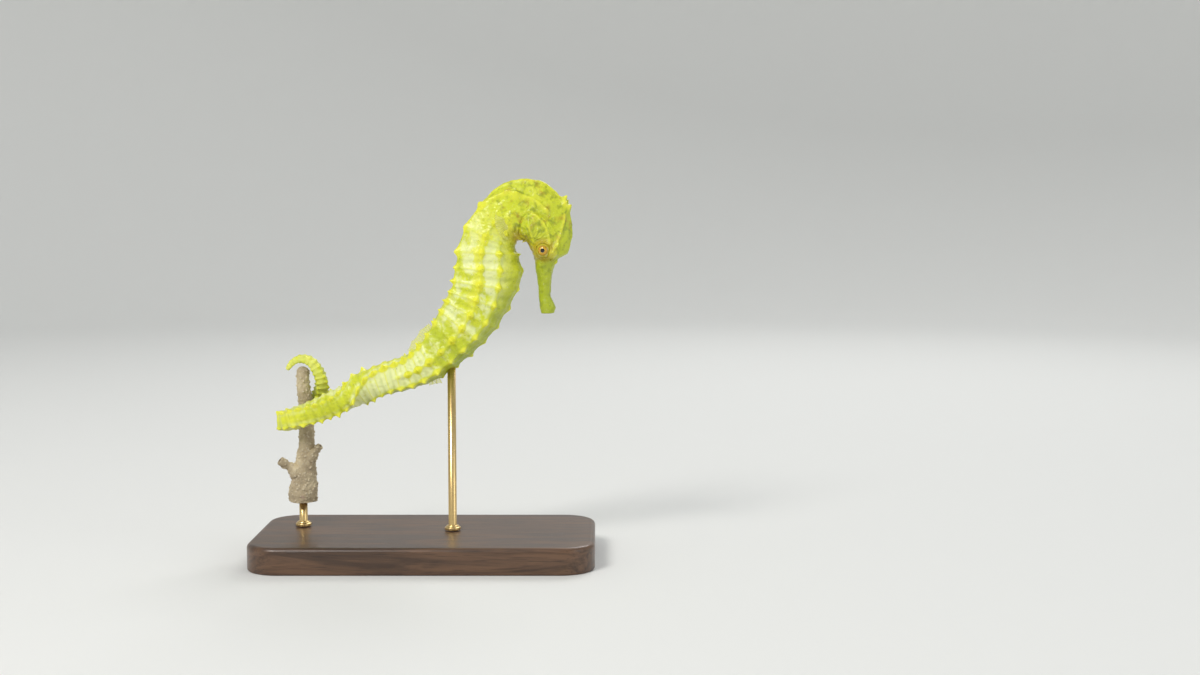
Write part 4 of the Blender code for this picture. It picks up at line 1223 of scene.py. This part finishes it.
def stem_paint():
    """Dull tan rind, paler cups with dark pits, and a dark horny core on the cut ends."""
    p = Paint("gorgonian_rind")
    here = p.place()
    cup = p.carried("cup")
    soft, fine = p.noise(here, 180.0, 3.0), p.noise(here, 2600.0, 4.0, 0.65)
    colour = p.coats(
        RIND_DARK,
        (soft.ramp(0.35, 0.68), RIND_TAN),
        (cup.ramp(0.15, 0.7) * 0.55, CUP_RIM),
        (cup.ramp(0.74, 0.90) * 0.75, CUP_PIT),
        (fine.ramp(0.5, 0.75) * 0.35, RIND_PALE),
        (p.noise(here, 420.0).ramp(0.62, 0.75) * 0.35, RIND_ROSE),
        (p.carried("core"), HORN))
    p.set(Base_Color=colour, Roughness=(fine * 0.2 + 0.72),
          Normal=p.bump(fine + soft * 0.5, 0.7, 0.00025))
    return p.material


stem.data.materials.append(stem_paint())
print("stem painted")

# %% [markdown]
# The stand repeats its solid parts with softer edges: a board with a rolled upper edge, and
# two turned rods, each with a stepped collar at its foot.  A box and cylinders with a bevel
# come close, but a bevel rounds every edge alike.  Both are rings of points stacked from the
# bottom up instead, and their places come from the boxes of the solid parts.

# %% Stand shapes
# Radius, top and rounding of each step.
COLLAR_STEPS = ((2.4, 0.9, 0.25), (1.9, 1.4, 0.2))
COLLAR_EASED, ROD_RADIUS, SEATED = 0.15, 1.25, 0.5
BASE_CORNER, BASE_ROLL, BASE_EASED, BASE_FLAT = 10.0, 1.4, 0.6, 3.0
ROD_SIDES, EDGE_POINTS, CORNER_POINTS = 64, 7, 17


def quarter(reach, height, radius, first):
    """A rounded edge: reach and height along a quarter circle that starts at an angle."""
    turns = np.radians(np.linspace(first, first + 90.0, EDGE_POINTS))
    return [(reach + radius * cos(t), height + radius * sin(t)) for t in turns]


def node_box(node):
    """Middle, half size, lowest and highest height of a solid part, in millimetres."""
    low, high = (np.array(corner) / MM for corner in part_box(node))
    return (low + high) / 2, (high - low) / 2, low[2], high[2]


def stacked(name, node, rings):
    """A closed piece through stacked rings, standing for one solid part."""
    made = grid_object(name, np.array(rings), {})
    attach(made, "root")
    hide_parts(node)
    print(name, "faces:", len(made.data.polygons))
    return made


def turned_rod(name, node):
    """A rod on a collar of two steps, seated a little into what it carries."""
    middle, _, foot, top = node_box(node)
    profile = quarter(COLLAR_STEPS[0][0] - COLLAR_EASED, COLLAR_EASED, COLLAR_EASED, -90.0)
    for reach, height, edge in COLLAR_STEPS:
        profile += quarter(reach - edge, height - edge, edge, 0.0)
    collar = COLLAR_STEPS[-1][1]
    profile += [(ROD_RADIUS + 0.2, collar), (ROD_RADIUS + 0.05, collar + 0.05)]
    profile += [(ROD_RADIUS, collar + 0.2), (ROD_RADIUS, top - foot + SEATED)]
    rings = turned([(r, foot + z) for r, z in profile], ROD_SIDES, middle[:2])
    return stacked(name, node, rings)


def base_board(name, node):
    """The board: rounded corners, edges eased a little below and rolled above."""
    middle, half, _, top = node_box(node)
    profile = [(-BASE_FLAT, 0.0)] + quarter(-BASE_EASED, BASE_EASED, BASE_EASED, -90.0)
    profile += quarter(-BASE_ROLL, top - BASE_ROLL, BASE_ROLL, 0.0)
    profile += [(-BASE_ROLL - 0.05, top), (-BASE_FLAT, top)]
    corners = []
    for turn, (sx, sy) in enumerate(((1, 1), (-1, 1), (-1, -1), (1, -1))):
        x, y = middle[:2] + (half[:2] - BASE_CORNER) * (sx, sy)
        for a in np.radians(90.0 * turn + np.linspace(0.0, 90.0, CORNER_POINTS)):
            corners.append((x, y, cos(a), sin(a)))
    rings = [[(x + (BASE_CORNER + out) * dx, y + (BASE_CORNER + out) * dy, z) for x, y, dx, dy in corners]
             for out, z in profile]
    return stacked(name, node, rings)


board = base_board("walnut_base", "stand_base")
rods = [turned_rod("brass_rod_body", "stand_rod_body"), turned_rod("brass_rod_perch", "stand_rod_perch")]

# %% [markdown]
# The board is oiled walnut: long bands of grain from noise stretched along it, with fine dark
# pores.  The rods are brass, brushed round, and noise squeezed along the rod gives the fine
# turning marks.  Noise has no edges to match, as a repeated picture of wood would.

# %% Stand finishes
WALNUT_DARK, WALNUT_PALE, PORE = (0.050, 0.024, 0.012), (0.135, 0.068, 0.034), (0.020, 0.010, 0.006)
BRASS, TARNISH = (0.80, 0.58, 0.26), (0.52, 0.36, 0.15)


def walnut_paint():
    """Dark oiled wood, grain along X."""
    p = Paint("oiled_walnut")
    long_way = p.place((0.10, 1.0, 1.0))
    bands = p.noise(long_way, 240.0, 4.0, 0.6, 1.2)
    pores = p.noise(p.place((0.04, 1.0, 1.0)), 3200.0, 2.0)
    colour = p.coats(WALNUT_DARK, (bands.ramp(0.35, 0.65), WALNUT_PALE),
                     (pores.ramp(0.58, 0.70) * 0.6, PORE))
    p.set(Base_Color=colour, Roughness=(bands * 0.15 + 0.30), Coat_Weight=0.25, Coat_Roughness=0.25,
          Normal=p.bump(pores.ramp(0.70, 0.55), 0.25, 0.0001))
    return p.material


def brass_paint():
    """Satin brass with faint turning marks and a little tarnish."""
    p = Paint("satin_brass")
    marks = p.noise(p.place((0.2, 0.2, 6.0)), 2500.0, 2.0)
    stain = p.noise(p.place(), 220.0, 3.0)
    colour = p.mix(stain.ramp(0.45, 0.75) * 0.5, BRASS, TARNISH)
    p.set(Base_Color=colour, Metallic=1.0, Roughness=(stain * 0.12 + marks * 0.10 + 0.18),
          Normal=p.bump(marks, 0.12, 0.00005))
    return p.material


board.data.materials.append(walnut_paint())
brass = brass_paint()
for rod in rods:
    rod.data.materials.append(brass)
print("stand finished")

# %% [markdown]
# Last, the size of the finished look is set beside the size of the solid parts.  Whoever places
# the model goes by its solids, so the look should fill their box and hardly pass it.

# %% Measure and finish
seen_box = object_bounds()
boxes = [[list(map(float, corner)) for corner in box] for box in (cad_box, seen_box)]
print("solid box", boxes[0], "visual box", boxes[1])
